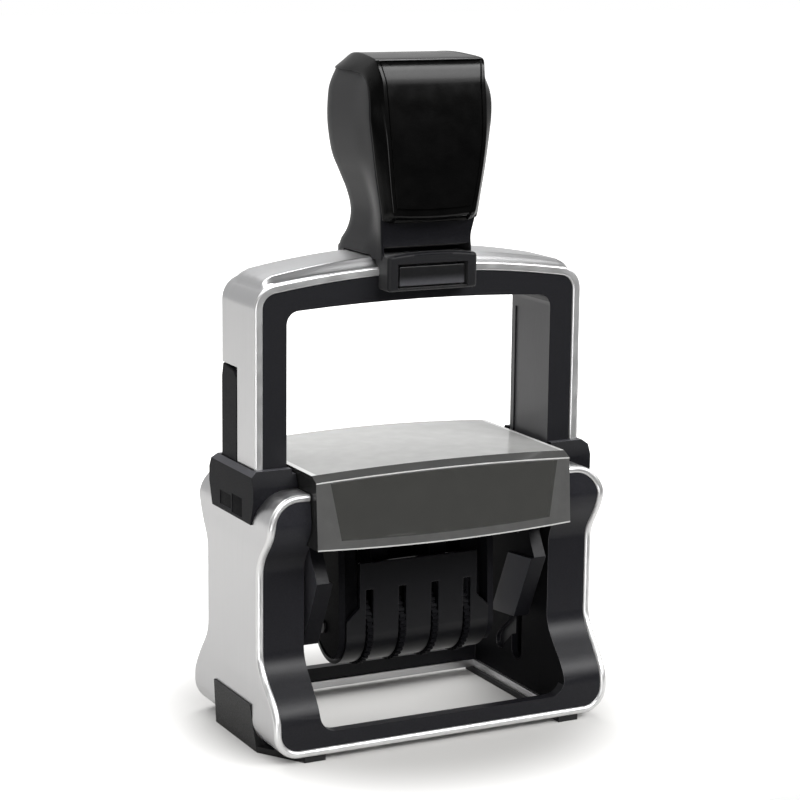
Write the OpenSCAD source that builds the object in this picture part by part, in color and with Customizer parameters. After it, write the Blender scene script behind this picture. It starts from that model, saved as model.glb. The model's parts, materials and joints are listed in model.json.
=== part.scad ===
// Self inking date stamp with a flip-over print carrier.
// Millimetres. +Z is up, the front faces -Y, and the feet stand on Z = 0.

/* [Base] */
// Width of the metal band round the base
base_w = 85.3; // [78:0.1:94]
// Height of the band's shoulders above the table
base_h = 60.1; // [55:0.1:66]
// Thickness of the metal band
band_t = 1.4; // [1:0.1:1.6]
// Depth of the base at its flared foot
flare_d = 46.9; // [43:0.1:52]
// Depth of the base at its waist
waist_d = 28.8; // [26.5:0.1:33]
// Depth of the base at its shoulders
bulge_d = 40.5; // [36:0.1:44]
// Height where the foot starts to draw in
flare_z = 8.4; // [7:0.1:12]
// Height where the waist begins
waist_z = 24; // [20:0.5:28]
// How far below the shoulders the waist ends
waist_drop = 18.6; // [14:0.1:20]
// How far below the shoulders the base is deepest
bulge_drop = 6.1; // [3:0.1:8]
// How far the shoulders draw in again at the top
shoulder_in = 1.2; // [0.4:0.1:2]
// Corner radius of the band at the foot
foot_r = 6; // [4:0.5:8]
// Corner radius of the band at the shoulders
shoulder_r = 7.5; // [7:0.5:9]
// How far the moulded frame sits back from the band's edge
frame_inset = 0.5; // [0.2:0.1:1]
// Thickness of the inner wall beside a leg
inner_wall = 1.75; // [1.5:0.05:2.2]
// How far the stamping window's sides lie inside the inner walls
window_side = 0.8; // [0.4:0.1:1.4]
// Rim of the band in front of the stamping window and behind it
window_rim = 3.55; // [3:0.05:4.5]
// Height of the front and rear bars above the band
bar_h = 3.7; // [2.5:0.1:4.5]
// How far the bars stand back from the window's edge
bar_back = 0.5; // [0.2:0.1:1]
// Corner radius of the opening in the frame
opening_r = 4; // [2:0.1:6]
// Thickness of the floor under each leg
leg_floor = 2.7; // [2:0.1:3.2]

/* [Feet and collars] */
// Thickness of the feet under the band
foot_h = 1.42; // [1.2:0.02:2]
// How far the feet reach inside the inner walls
foot_in = 1.4; // [0.9:0.1:2]
// Width of each foot at its ends
foot_end_w = 5.1; // [4:0.1:7]
// How far the feet stand back from the flared edge
foot_back = 0.7; // [0.4:0.1:3]
// Height of the wedge that climbs the side
wedge_h = 11; // [9:0.1:14]
// Length of the wedge at its top
wedge_l = 20.8; // [16:0.1:24]
// Length of the wedge at the table
wedge_foot_l = 23.6; // [20:0.1:26]
// How far the wedge leans inwards at the table
wedge_lean = 1.1; // [0.6:0.1:2]
// How far collars and wedges stand proud of the band
side_proud = 0.43; // [0.2:0.01:0.8]
// How far the collars reach below the shoulders
collar_drop = 7.7; // [6:0.1:9]
// How far the collars rise above the shoulders at the side
collar_up = 3.1; // [2.5:0.1:3.8]
// Further rise of the collar's top towards the leg
collar_rise = 1.1; // [0.5:0.1:1.3]
// Wall of a collar in front of the leg and behind it
collar_wall = 1.5; // [1.2:0.1:2.4]
// How far the collars bulge forward at mid height
collar_bulge = 1.7; // [0.5:0.1:2.5]
// Depth of the small pockets in the collar's side
pocket_depth = 0.6; // [0.3:0.1:0.9]
// Length of the longer pocket
pocket_l = 6.8; // [5:0.1:7]
// Height of the taller pocket
pocket_h = 4.4; // [3.5:0.1:5]

/* [Bail] */
// How far the bail's outer faces stand in from the band
bail_in = 1.65; // [1.5:0.05:2.5]
// Depth of the bail, front to back
bail_d = 18.3; // [16.5:0.1:19]
// Thickness of a bail leg with its metal skin
leg_w = 7.6; // [7.2:0.1:8.4]
// Thickness of the bail's metal skin
skin_t = 1.4; // [1:0.1:1.6]
// Height of the bail's arch at its front edge
bail_top = 108; // [100:0.1:112]
// Radius of the bail's arch
arch_r = 237; // [200:1:300]
// Corner radius of the bail
bail_r = 6.4; // [5:0.1:8]
// Height of the ridge along the middle of the arch
ridge_h = 2.2; // [1.4:0.1:2.4]
// Depth of the ridge, front to back
ridge_d = 13; // [10:0.5:14]
// Radius of the ridge's arc
ridge_r = 190; // [160:1:230]
// Height of the bail's crossbar at its middle
bail_bar = 8; // [7:0.1:9]
// Corner radius of the bail window
bail_window_r = 3; // [2:0.1:5]
// Length of the legs below the pivot pins
leg_end = 4.25; // [3.5:0.05:4.6]
// How far the liner sits back from the skin's edge
liner_inset = 0.3; // [0.1:0.1:0.6]
// Depth of the shallow panel in the leg's inner face
leg_panel = 0.4; // [0.2:0.1:0.6]
// Border of that panel along the leg's edges
leg_border = 1.6; // [1:0.1:3]
// How far below the bail's top the guide strips end
guide_drop = 22.4; // [16:0.1:28]
// Thickness of a guide strip
guide_t = 1.2; // [0.9:0.1:1.3]
// How far a guide strip stands proud of the skin
guide_proud = 0.4; // [0.2:0.05:0.4]
// Cut corner at the guide strip's upper end
guide_cut = 2; // [1:0.1:2.4]
// How far the guide strips stand off the leg's middle
guide_off = 0.5; // [0.2:0.1:1.5]

/* [Grip] */
// Height of the whole stamp
grip_top = 154.5; // [146:0.1:166]
// Width of the saddle that straddles the bail
saddle_w = 22.4; // [21.4:0.1:24]
// Wall of the saddle in front of the bail and behind it
saddle_wall = 4.85; // [4.4:0.05:5.2]
// How far the saddle reaches below the bail's top
saddle_drop = 5.4; // [5:0.1:6.4]
// How far the saddle rises above the bail's top
saddle_up = 2.8; // [2.4:0.1:4]
// How far the saddle's rear corners are cut off
saddle_cut = 1.7; // [1:0.1:1.9]
// Depth of the bevel along the saddle's front and rear shoulder
saddle_bevel = 1.2; // [0.6:0.1:2]
// Drop of that bevel
saddle_bevel_h = 0.6; // [0.4:0.1:1.2]
// Width of the grip at its neck
neck_w = 18.4; // [16:0.1:20]
// Widest part of the grip
grip_w = 30; // [28:0.1:31]
// Depth of the soft sides
side_d = 22.8; // [21.6:0.1:23.6]
// How much the neck is hollowed at the front and the rear
neck_hollow = 0.8; // [0.2:0.1:1.2]
// Height of the step under the cap's lower lip
lip_step = 1; // [0.4:0.1:1.5]
// Depth of the grip over its glossy cap
cap_d = 30.6; // [29:0.1:32]
// Depth of the straight part of the cap's sides
cap_wall = 1.6; // [1:0.1:2.2]
// How far the cap's lower lip lies above the saddle
cap_lift = 6.8; // [5.5:0.1:8]
// Thickness of the cap over the top of the grip
cap_top_t = 4; // [3:0.1:5]
// Width of the cap's rim at its lower lip
cap_low_w = 23.6; // [22.6:0.1:24.6]
// Width of the cap's rim at its widest
cap_w = 30.2; // [29:0.1:31]
// How much narrower the cap's face is than its rim
cap_taper = 0.835; // [0.8:0.005:0.88]
// Depth of the soft back behind the grip's middle
back_y = 14.2; // [13:0.1:14.6]
// Depth of that back at the neck
back_neck = 11.5; // [10.8:0.1:12.4]
// Depth behind the middle where the back starts to narrow
back_start = 10.4; // [9:0.1:10.6]
// How much narrower the back is than the sides
back_taper = 0.8; // [0.7:0.01:0.9]
// How deep the sides flare to meet the cap
flare_in = 6.4; // [5:0.1:8]
// How much narrower that flare is at its inner end
flare_taper = 0.82; // [0.75:0.01:0.86]
// Thickness of the front and rear panels
panel_t = 0.6; // [0.4:0.1:1]
// Border of the cap beside the panels
panel_border = 0.8; // [0.5:0.1:1.6]
// Border of the cap below the panels
panel_low = 3; // [2:0.1:4]
// How far the panels end below the soft sides' top
panel_high = 1; // [0.5:0.1:3]
// How far the panels' lower edge dips at the middle
panel_dip = 1; // [0.4:0.1:2]

/* [Lock] */
// Border of the saddle on each side of the lock
lock_side = 3; // [2.6:0.1:4]
// Border of the saddle below the lock
lock_low = 1.1; // [0.9:0.1:1.6]
// Height of the lock's push plate
lock_h = 4.4; // [3.8:0.1:4.6]
// Thickness of the lock's push plates
lock_t = 1.2; // [0.8:0.1:1.4]
// Width of the bar that joins the two push plates
lock_bar_w = 9; // [6:0.1:10]
// Height of that bar
lock_bar_h = 2; // [1.5:0.1:2.2]
// How far the push plates sit back from the saddle's face
lock_inset = 0.4; // [0.1:0.1:0.8]
// How far the lock slides
lock_travel = 2.5; // [1.5:0.1:2.5]

/* [Hood] */
// How far the hood's crest rises above the shoulders
hood_up = 5.1; // [4.3:0.1:5.4]
// How far the hood's top falls to the sides
hood_crown = 1; // [0.8:0.1:1.9]
// How far the hood's lower edge lies below the shoulders
hood_drop = 12.2; // [11.5:0.1:13]
// How far the hood's lower edge dips at the middle
hood_dip = 0.7; // [0.2:0.1:1]
// How far the hood stands back from the flared foot
hood_back = 0.05; // [0:0.05:1]
// How much the hood's front bows forward
hood_bow = 0.9; // [0.3:0.1:0.9]
// How far the hood's front leans back at its top
hood_lean = 1.1; // [0.5:0.1:1.6]
// Drop of the hood's bevel
hood_bevel = 1.2; // [0.8:0.1:2]
// Depth of the hood's bevel
hood_bevel_d = 2.4; // [1.5:0.1:3]
// Wall thickness of the hood
hood_t = 1.4; // [1.2:0.1:1.5]
// Width of the ledge that carries the hood
hood_ledge = 0.9; // [0.7:0.05:0.95]
// Border of the hood beside the card at its top
card_side = 3.4; // [2.5:0.1:6]
// How far the card's sides draw in at the bottom
card_draw = 2.3; // [0:0.1:4]
// Border of the hood below the card
card_low = 1.6; // [1:0.1:3]
// Border of the hood above the card
card_high = 0.4; // [0.3:0.1:3]
// Thickness of the card
card_t = 0.4; // [0.2:0.1:0.6]
// Gap between the card and the hood's front
card_gap = 0.3; // [0.2:0.05:0.5]

/* [Mechanism] */
// How far the handle is pressed
press = 33; // [32:0.05:33.4]
// How far the print face rests below the shoulders
print_drop = 4.6; // [4.5:0.05:4.9]
// How far the die's sides lie inside the carrier's
die_side = 1.9; // [1.5:0.1:4]
// Depth of the print die
die_d = 28; // [24:0.1:28]
// Thickness of the print die
die_t = 2; // [1.5:0.1:2.5]
// Depth of the hollow in the print die
die_hollow = 0.8; // [0.4:0.1:1.2]
// Width of the die's outline
die_line = 1; // [0.6:0.1:1.5]
// Thickness of the plate that holds the die
plate_t = 2.5; // [2:0.1:3]
// How far the plate stands out round the die
plate_rim = 0.4; // [0.2:0.1:0.8]
// Thickness of the carrier's bridge
carrier_t = 2.5; // [2:0.1:3]
// How far the carrier's bridge stands in from the die's edge
carrier_in = 2; // [1:0.1:4]
// Gap between the carrier's arms and the inner walls
arm_gap = 2; // [1.6:0.1:2.6]
// Thickness of a carrier arm
arm_t = 3.2; // [2.5:0.1:4]
// Width of a carrier arm at its tail
arm_w = 11; // [9:0.1:11.6]
// How far the arms reach to the rear at their tails
arm_back = 2.2; // [1:0.1:4]
// How far the arms lean forward above their tails
arm_lean = 7.6; // [5:0.1:8]
// Height of the arms' tails below the shaft
arm_tail = 2; // [1:0.1:3]
// Cheek of a carrier arm round its pins
arm_cheek = 3; // [2:0.1:3.2]
// Thickness of the raised pad on each arm
arm_pad = 0.8; // [0.4:0.1:1.2]
// Height of that pad
arm_pad_h = 16; // [12:0.5:16.5]
// Radius of the pivot pins
pin_r = 2; // [1.6:0.1:2.2]
// Distance of the cam pins from the pivot
cam_r = 8; // [7:0.1:8.4]
// Radius of the cam pins
cam_pin_r = 1.5; // [1.2:0.1:1.8]
// Depth of the cam track in the inner walls
track_depth = 1.1; // [0.9:0.1:1.2]

/* [Date unit] */
// Distance of the setting wheels' shaft below the pivot
wheel_drop = 20.75; // [20:0.05:21.5]
// Radius of the setting wheels
wheel_r = 9.6; // [9.4:0.1:9.8]
// Width of a setting wheel's rim
rim_w = 2.2; // [1.8:0.1:2.6]
// Distance between neighbouring setting wheels
wheel_step = 8.4; // [8:0.1:8.8]
// Teeth round each setting wheel
wheel_teeth = 40; // [24:1:48]
// Radius of the hub that drives a date band
hub_r = 4.6; // [4:0.1:5]
// Width of a date band
date_band_w = 4.2; // [3.6:0.1:4.4]
// Thickness of a date band
date_band_t = 0.8; // [0.6:0.1:1]
// Radius of a date band's nose at the print face
nose_r = 2.2; // [2:0.1:2.4]
// Clear room round the noses in the print die
nose_room = 1; // [0.6:0.1:1.4]
// Radius of the shaft
shaft_r = 1.5; // [1.2:0.1:1.8]
// How far the shaft stands out of the end plates
shaft_end = 0.5; // [0.2:0.1:1]
// Wall of the sleeve on the shaft
sleeve_wall = 1.6; // [1:0.1:2]
// Radius of the cover's rolled lower edge
cover_r = 9; // [8.6:0.1:9.1]
// Thickness of the cover
cover_t = 1.2; // [0.9:0.1:1.4]
// Height of the cover's upper edge above the shaft
cover_rise = 16.5; // [13:0.1:18]
// Width of the cover's upper part
cover_w = 30.4; // [28.6:0.1:32]
// Height above the shaft where the cover starts to widen
cover_flare = 6; // [4:0.1:8]
// Height of that widening
cover_flare_h = 4; // [2:0.1:5]
// Height of the slots' upper ends above the shaft
slot_rise = 10.1; // [8:0.1:12]
// Thickness of the end plates
end_t = 1.6; // [1.2:0.1:2]
// How far the end plates stand back from the cover
end_back = 0.5; // [0.2:0.1:1]
// How far the end plates narrow towards the carrier
end_draw = 1; // [0:0.1:2]
// Height of the end plates' lower edge below the shaft
end_low = 6.4; // [5:0.1:8]
// Slope of their lower edge towards the rear
end_slope = 0.5; // [0.2:0.05:0.6]

/* [Ink cartridge] */
// Side wall of the bridge beside the tray
bridge_wall = 0.55; // [0.5:0.05:0.7]
// Gap between the bridge's ends and the hood's bevels
bridge_gap = 0.5; // [0.3:0.1:2]
// Gap between the pad and the print face at rest
pad_gap = 0.65; // [0.6:0.05:0.8]
// Height of the ink tray
tray_h = 4; // [3.6:0.1:4.1]
// Wall thickness of the ink tray
tray_t = 1.1; // [0.8:0.1:1.4]
// Thickness of the bridge over the tray
bridge_t = 0.9; // [0.7:0.1:1]
// Thickness of the rails under the tray
rail_t = 0.95; // [0.8:0.05:0.95]
// Width of the rails under the tray
rail_w = 1; // [0.8:0.1:1]
// Gap between the tray and its rails
rail_gap = 0.2; // [0.1:0.05:0.25]
// How far the tray's grip stands out of the hood's side edge
tray_lip = 0.1; // [0:0.1:0.4]
// Finger grooves in the tray's rear face
groove_count = 7; // [3:1:8]
// Distance between neighbouring grooves
groove_step = 6; // [4:0.1:7]
// Width of a groove
groove_w = 2.4; // [1.5:0.1:3]
// Depth of a groove
groove_t = 0.8; // [0.4:0.1:1.2]

/* [Springs] */
// Outer radius of the return springs
spring_r = 2.2; // [2:0.1:2.3]
// Radius of the spring wire
wire_r = 0.35; // [0.3:0.05:0.4]
// Number of turns of a spring
spring_turns = 20; // [14:1:22]
// How far the springs end below the bail window's upper edge
spring_drop = 8; // [6:0.5:12]
// Distance of the springs from the leg's edge
spring_side = 4.15; // [3.9:0.05:4.4]
// How far the guide posts end below the legs
post_gap = 6; // [4:0.5:12]
// Gap at the springs' seats
seat_gap = 0.05; // [0.02:0.01:0.1]

/* [Fits] */
// Gap round pieces that slide
slide_gap = 0.25; // [0.2:0.05:0.3]
// Gap round pins that follow a track
track_gap = 0.3; // [0.25:0.05:0.4]
// Radial gap of a running shaft
run_gap = 0.05; // [0.02:0.01:0.1]
// Gap round pieces that are laid in
inlay_gap = 0.15; // [0.1:0.05:0.2]

/* [Hidden] */
$fn = 48;
far = 200;

// Steps of an arc, a blend, a spline span and the cam track
arc_steps = 8;
blend_steps = 12;
span_steps = 4;
cam_steps = 18;

// Base, from the side inwards
band_x = base_w / 2;
side_x = band_x + side_proud;
leg_x1 = band_x - bail_in;
leg_x0 = leg_x1 - leg_w;
channel_x = leg_x1 + guide_proud + slide_gap;
pocket_x = leg_x0 - slide_gap;
in_x = pocket_x - inner_wall;
seat_x = in_x + hood_ledge;
window_x = in_x - window_side;
window_y = flare_d / 2 - window_rim;
channel_d = bail_d + 2 * slide_gap;
floor_z = foot_h + band_t;
leg_floor_z = floor_z + leg_floor;
bar_z = floor_z + bar_h;

// Collars
collar_z0 = base_h - collar_drop;
collar_z1 = base_h + collar_up;
collar_top = collar_z1 + collar_rise;
collar_y = channel_d / 2 + collar_wall;

// Bail, springs and grip
bail_window_z = bail_top - bail_bar;
bore_x = (leg_x0 + leg_x1 - skin_t) / 2;
guide_x = leg_x1 + guide_proud;
guide_top = bail_top - guide_drop;
spring_top = bail_window_z - spring_drop;
spring_y = bail_d / 2 - spring_side;
saddle_y = bail_d / 2 + saddle_wall;
saddle_z0 = bail_top - saddle_drop;
saddle_z1 = bail_top + saddle_up;
lip_y = side_d / 2;
cap_z0 = saddle_z1 + cap_lift;
core_top = grip_top - cap_top_t;
lock_x = saddle_w / 2 - lock_side;
lock_z = saddle_z0 + lock_low;
lock_face = saddle_y - lock_inset;

// Carrier: the pivot sits so that half a turn brings the print face from its rest height to the table
print_z = base_h - print_drop;
print_r = (print_z - press) / 2;
pivot_z = print_z - print_r;
leg_z = pivot_z - leg_end;
arm_x1 = in_x - arm_gap;
arm_x0 = arm_x1 - arm_t;
die_x = arm_x1 - die_side;
plate_z = print_z - die_t;
bridge_z = plate_z - plate_t;
bridge_z0 = bridge_z - carrier_t;

// Date unit: bands sit outside their wheels, mirrored about the middle
wheel_z = pivot_z - wheel_drop;
wheel_x = [-1.5 * wheel_step, -0.5 * wheel_step, 0.5 * wheel_step, 1.5 * wheel_step];
hub_side = [-1, -1, 1, 1];
hub_w = date_band_w + 2 * inlay_gap;
date_band_x = rim_w / 2 + inlay_gap + date_band_w / 2;
end_x = 1.5 * wheel_step + rim_w / 2 + hub_w + slide_gap;
nose_z = print_z - nose_r;
nose_bar_r = nose_r - date_band_t - slide_gap;
date_window_x = end_x + end_t + inlay_gap;
date_window_y = nose_r + nose_room;
band_hub_r = hub_r + slide_gap + date_band_t;

// Hood
hood_x = seat_x - slide_gap;
hood_top = base_h + hood_up;
hood_z0 = base_h - hood_drop;
hood_low_y = flare_d / 2 - hood_back - hood_bow;
hood_mid_y = hood_low_y - hood_lean;
hood_top_y = hood_mid_y - hood_bevel_d;
hood_edge_z = hood_top - hood_bevel;

// Ink cartridge and the bridge that holds it
pad_z = print_z + pad_gap;
tray_z = pad_z - slide_gap;
tray_top = tray_z + tray_h;
rail_z = tray_z - rail_gap;
bridge_x = hood_x - hood_t - slide_gap;
bridge_in = bridge_x - bridge_wall;
bridge_y = hood_top_y - hood_t - bridge_gap;
bridge_top = tray_top + slide_gap + bridge_t;
tray_x = bridge_in - slide_gap;
tray_back = hood_low_y + tray_lip;
pad_x = tray_x - tray_t;
pad_y = bridge_y - tray_t;

function arc(c, r, a0, a1) =
    [for (i = [0:arc_steps]) let (a = a0 + (a1 - a0) * i / arc_steps)
        [c[0] + r * cos(a), c[1] + r * sin(a)]];

// A smooth step from one point to another that starts and ends upright
function blend(p, q) =
    [for (i = [0:blend_steps]) let (t = i / blend_steps)
        [p[0] + (q[0] - p[0]) * (1 - cos(180 * t)) / 2, p[1] + (q[1] - p[1]) * t]];

function mirrored(pts) = [for (i = [len(pts) - 1:-1:0]) [-pts[i][0], pts[i][1]]];

// A smooth curve through a few hand-chosen points
function span(a, b, c, d, t) =
    0.5 * (2 * b + (c - a) * t + (2 * a - 5 * b + 4 * c - d) * t * t + (3 * b - a - 3 * c + d) * t * t * t);
function curve(p) =
    [for (i = [0:len(p) - 2], k = [0:span_steps - 1])
        span(p[max(i - 1, 0)], p[i], p[i + 1], p[min(i + 2, len(p) - 1)], k / span_steps), p[len(p) - 1]];

// Side outline of the base: flared foot, waist and deep shoulders
function base_edge(inset) =
    let (f = flare_d / 2 - inset, w = waist_d / 2 - inset, b = bulge_d / 2 - inset)
    concat([[f, 0]], blend([f, flare_z], [w, waist_z]),
           blend([w, base_h - waist_drop], [b, base_h - bulge_drop]), [[b - shoulder_in, base_h + band_t]]);

// Outline of an arch with upright legs, a rounded corner each side and a shallow arc between them
function arch(hw, r, top, big_r, z0) =
    let (cz = top - big_r,
         fz = cz + sqrt(pow(big_r - r, 2) - pow(hw - r, 2)),
         a = atan2(fz - cz, hw - r),
         half = concat([[hw, z0]], arc([hw - r, fz], r, 0, a)))
    concat(half, arc([0, cz], big_r, a, 180 - a), mirrored(half));

module along_x(x0, x1) translate([x0, 0, 0]) rotate([90, 0, 90]) linear_extrude(x1 - x0) children();

module along_y(y0, y1) translate([0, y1, 0]) rotate([90, 0, 0]) linear_extrude(y1 - y0) children();

module box(x0, x1, y0, y1, z0, z1) translate([x0, y0, z0]) cube([x1 - x0, y1 - y0, z1 - z0]);

module rod_x(r, x0, x1, y, z) translate([x0, y, z]) rotate([0, 90, 0]) cylinder(r = r, h = x1 - x0);

module pair() {
    children();
    mirror([1, 0, 0]) children();
}

module half_turn() rotate([0, 0, 180]) children();

module base_side(inset) polygon(concat(base_edge(inset), mirrored(base_edge(inset))));

// Front outline of the base with an allowance taken off all round
module base_loop(t) {
    x = band_x - t;
    z0 = foot_h + t;
    z1 = base_h - t;
    rf = foot_r - t;
    rs = shoulder_r - t;
    polygon(concat(arc([x - rf, z0 + rf], rf, -90, 0), arc([x - rs, z1 - rs], rs, 0, 90),
                   arc([rs - x, z1 - rs], rs, 90, 180), arc([rf - x, z0 + rf], rf, 180, 270)));
}

module leg_channel() pair() box(pocket_x, channel_x, -channel_d / 2, channel_d / 2, leg_floor_z, far);

module base_band() {
    color("silver")
    difference() {
        intersection() {
            along_y(-far, far) difference() {
                base_loop(0);
                base_loop(band_t);
                translate([-seat_x, base_h - shoulder_r]) square([2 * seat_x, far]);
            }
            along_x(-far, far) base_side(0);
        }
        box(-window_x, window_x, -window_y, window_y, -far, bar_z);
        leg_channel();
    }
}

// Path of a cam pin while the carrier turns half round and comes down with the legs
function cam_path(a) = [-cam_r * cos(a), pivot_z - press * a / 180 - cam_r * sin(a)];
function cam_normal(a) =
    let (d = [cam_r * sin(a), -press / PI - cam_r * cos(a)])
    [-d[1], d[0]] / norm(d);

module cam_track(r) {
    turn = [for (i = [0:cam_steps]) 180 * i / cam_steps];
    polygon(concat([for (a = turn) cam_path(a) + r * cam_normal(a)],
                   [for (i = [cam_steps:-1:0]) cam_path(turn[i]) - r * cam_normal(turn[i])]));
    translate(cam_path(0)) circle(r);
    translate(cam_path(180)) circle(r);
}

module pivot_slot(r) {
    translate([-r, pivot_z - press]) square([2 * r, press]);
    translate([0, pivot_z]) circle(r);
    translate([0, pivot_z - press]) circle(r);
}

module base_frame() {
    bar_y = window_y + bar_back;
    post_z = leg_floor_z - leg_floor / 2;
    post_r = spring_r - 2 * wire_r - track_gap;
    color([0.11, 0.11, 0.12])
    difference() {
        intersection() {
            along_y(-far, far) difference() {
                base_loop(band_t);
                polygon(concat(arc([opening_r - in_x, bar_z + opening_r], opening_r, 180, 270),
                               arc([in_x - opening_r, bar_z + opening_r], opening_r, 270, 360),
                               [[in_x, hood_z0], [seat_x, hood_z0], [seat_x, far],
                                [-seat_x, far], [-seat_x, hood_z0], [-in_x, hood_z0]]));
            }
            along_x(-far, far) base_side(frame_inset);
        }
        box(-in_x, in_x, -bar_y, bar_y, 0, bar_z + opening_r);
        leg_channel();
        pair() along_x(window_x, in_x + track_depth) cam_track(cam_pin_r + track_gap);
        pair() along_x(window_x, bore_x) pivot_slot(pin_r + track_gap);
    }
    for (s = [-1, 1])
        color([0.11, 0.11, 0.12])
        translate([s * bore_x, -s * spring_y, post_z])
            cylinder(r = post_r, h = leg_z - post_gap - post_z);
}

module foot() {
    x0 = in_x - foot_in;
    x1 = side_x - wedge_lean;
    y0 = wedge_foot_l / 2;
    y1 = flare_d / 2 - foot_back;
    color([0.13, 0.13, 0.14]) {
        linear_extrude(foot_h)
            polygon([[x0, -y1], [x0 + foot_end_w, -y1], [x1, -y0],
                     [x1, y0], [x0 + foot_end_w, y1], [x0, y1]]);
        difference() {
            intersection() {
                along_y(-far, far)
                    polygon([[band_x - foot_r, 0], [x1, 0], [side_x, wedge_h], [band_x - foot_r, wedge_h]]);
                along_x(0, far)
                    polygon([[-y0, 0], [y0, 0], [wedge_l / 2, wedge_h], [-wedge_l / 2, wedge_h]]);
            }
            along_y(-far, far) base_loop(0);
        }
    }
}

module right_foot() foot();

module left_foot() half_turn() foot();

// Side outline of a collar: upright ends with a bulge between them
module collar_side() {
    y = collar_y;
    low = collar_z0 + collar_drop * 0.7;
    high = base_h + collar_up * 0.3;
    half = [[y, collar_z0], [y + collar_bulge, low], [y + collar_bulge, high], [y, collar_top]];
    polygon(concat(half, mirrored(half)));
}

// Two latch pockets side by side, the longer one lower
module collar_pockets() {
    rib = pocket_depth;
    low = collar_z0 + rib;
    along_x(side_x - pocket_depth, far) {
        translate([rib - pocket_l, low + rib]) square([pocket_l - rib, pocket_h - 2 * rib]);
        translate([rib, low]) square([pocket_l - 2 * rib, pocket_h]);
    }
}

module collar() {
    color([0.12, 0.12, 0.13])
    difference() {
        intersection() {
            along_x(seat_x, side_x) collar_side();
            along_y(-far, far)
                polygon([[seat_x, collar_z0], [side_x, collar_z0], [side_x, collar_z1],
                         [channel_x, collar_top], [pocket_x, collar_top], [pocket_x, collar_z1],
                         [seat_x, collar_z1]]);
        }
        along_y(-far, far) base_loop(0);
        leg_channel();
        collar_pockets();
    }
}

module right_collar() collar();

module left_collar() half_turn() collar();

// Radius of a shallow arc that rises by h over the hood's half width
function hood_arc(h) = (pow(hood_x, 2) + pow(h, 2)) / (2 * h);

// Everything under the hood's crowned top
module hood_crest(top, x) {
    r = hood_arc(hood_crown);
    a = asin(x / r);
    along_y(-far, far) polygon(concat(arc([0, top - r], r, 90 - a, 90 + a), [[-x, -far], [x, -far]]));
}

// Outer form of the hood, drawn in by t on every side and open below
module hood_form(t) {
    x = hood_x - t;
    top = hood_top - t;
    bow_r = hood_arc(hood_bow);
    bow_a = asin(x / bow_r);
    bow = hood_low_y + hood_bow - t;
    slope = atan2(hood_bevel, hood_bevel_d);
    half = [[bow, -far], [bow, hood_z0], [bow - hood_lean, hood_edge_z], [bow - hood_lean, far]];
    intersection() {
        hood_crest(top, x);
        for (s = [-1, 1])
            translate([0, s * (hood_top_y + hood_bow - t), top]) rotate([-s * slope, 0, 0])
                hood_crest(0, x);
        along_x(-x, x) polygon(concat(half, mirrored(half)));
        translate([0, 0, -far]) linear_extrude(2 * far)
            polygon(concat(arc([0, bow - bow_r], bow_r, 90 - bow_a, 90 + bow_a),
                           arc([0, bow_r - bow], bow_r, 270 - bow_a, 270 + bow_a)));
    }
}

// Front outline of everything above the hood's lower edge, which dips between the ledges
module hood_skirt() {
    x = in_x - slide_gap;
    r = hood_arc(hood_dip);
    a = asin(x / r);
    polygon(concat([[-hood_x, far], [-hood_x, hood_z0]],
                   arc([0, hood_z0 + r * cos(a)], r, 270 - a, 270 + a),
                   [[hood_x, hood_z0], [hood_x, far]]));
}

module hood() {
    color([0.33, 0.31, 0.31, 0.7])
    difference() {
        intersection() {
            hood_form(0);
            along_y(-far, far) hood_skirt();
        }
        hood_form(hood_t);
        pair() box(bridge_x, far, -collar_y, collar_y, 0, hood_z0 + rail_t + slide_gap);
        box(-bridge_x, bridge_x, 0, far, rail_z - slide_gap, tray_top + slide_gap);
    }
}

// The card leans with the hood's front, and its sides draw in towards the bottom
module index_card() {
    z0 = hood_z0 + card_low;
    z1 = hood_edge_z - hood_crown - card_high;
    lean = hood_lean / (hood_edge_z - hood_z0);
    y0 = hood_low_y - hood_t - card_gap - lean * card_low;
    y1 = y0 - lean * (z1 - z0);
    x1 = hood_x - card_side;
    x0 = x1 - card_draw;
    color([0.25, 0.24, 0.24])
    intersection() {
        along_x(-x1, x1) polygon([[-y0, z0], [card_t - y0, z0], [card_t - y1, z1], [-y1, z1]]);
        along_y(-far, far) polygon([[-x0, z0], [x0, z0], [x1, z1], [-x1, z1]]);
    }
}

module pad_bridge() {
    foot_y = collar_y - slide_gap;
    foot_z = hood_z0 + rail_t;
    color([0.1, 0.1, 0.11])
    difference() {
        union() {
            box(-bridge_x, bridge_x, -bridge_y, bridge_y, bridge_top - bridge_t, bridge_top);
            pair() {
                box(bridge_in, bridge_x, -bridge_y, bridge_y, rail_z - rail_t, bridge_top - bridge_t);
                box(bridge_in - rail_w, bridge_in, -bridge_y, bridge_y, rail_z - rail_t, rail_z);
                box(bridge_in, bridge_x, -foot_y, foot_y, foot_z, rail_z - rail_t);
                box(bridge_in, seat_x - slide_gap, -foot_y, foot_y, hood_z0, foot_z);
            }
        }
        for (y = [-cam_r, cam_r]) rod_x(cam_pin_r + slide_gap, -far, far, y, pivot_z);
        rod_x(pin_r + slide_gap, -far, far, 0, pivot_z);
    }
}

module ink_tray() {
    first = -groove_step * (groove_count - 1) / 2;
    color([0.16, 0.16, 0.17])
    difference() {
        box(-tray_x, tray_x, -bridge_y, tray_back, tray_z, tray_top);
        box(-pad_x, pad_x, -pad_y, pad_y, 0, tray_top - tray_t);
        for (i = [0:groove_count - 1])
            translate([first + groove_step * i - groove_w / 2, tray_back - groove_t, tray_z + tray_t])
                cube([groove_w, groove_t + tray_t, tray_h - 2 * tray_t]);
    }
}

module ink_pad() {
    x = pad_x - inlay_gap;
    y = pad_y - inlay_gap;
    color([0.12, 0.13, 0.3])
    box(-x, x, -y, y, pad_z, tray_top - tray_t);
}

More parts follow.
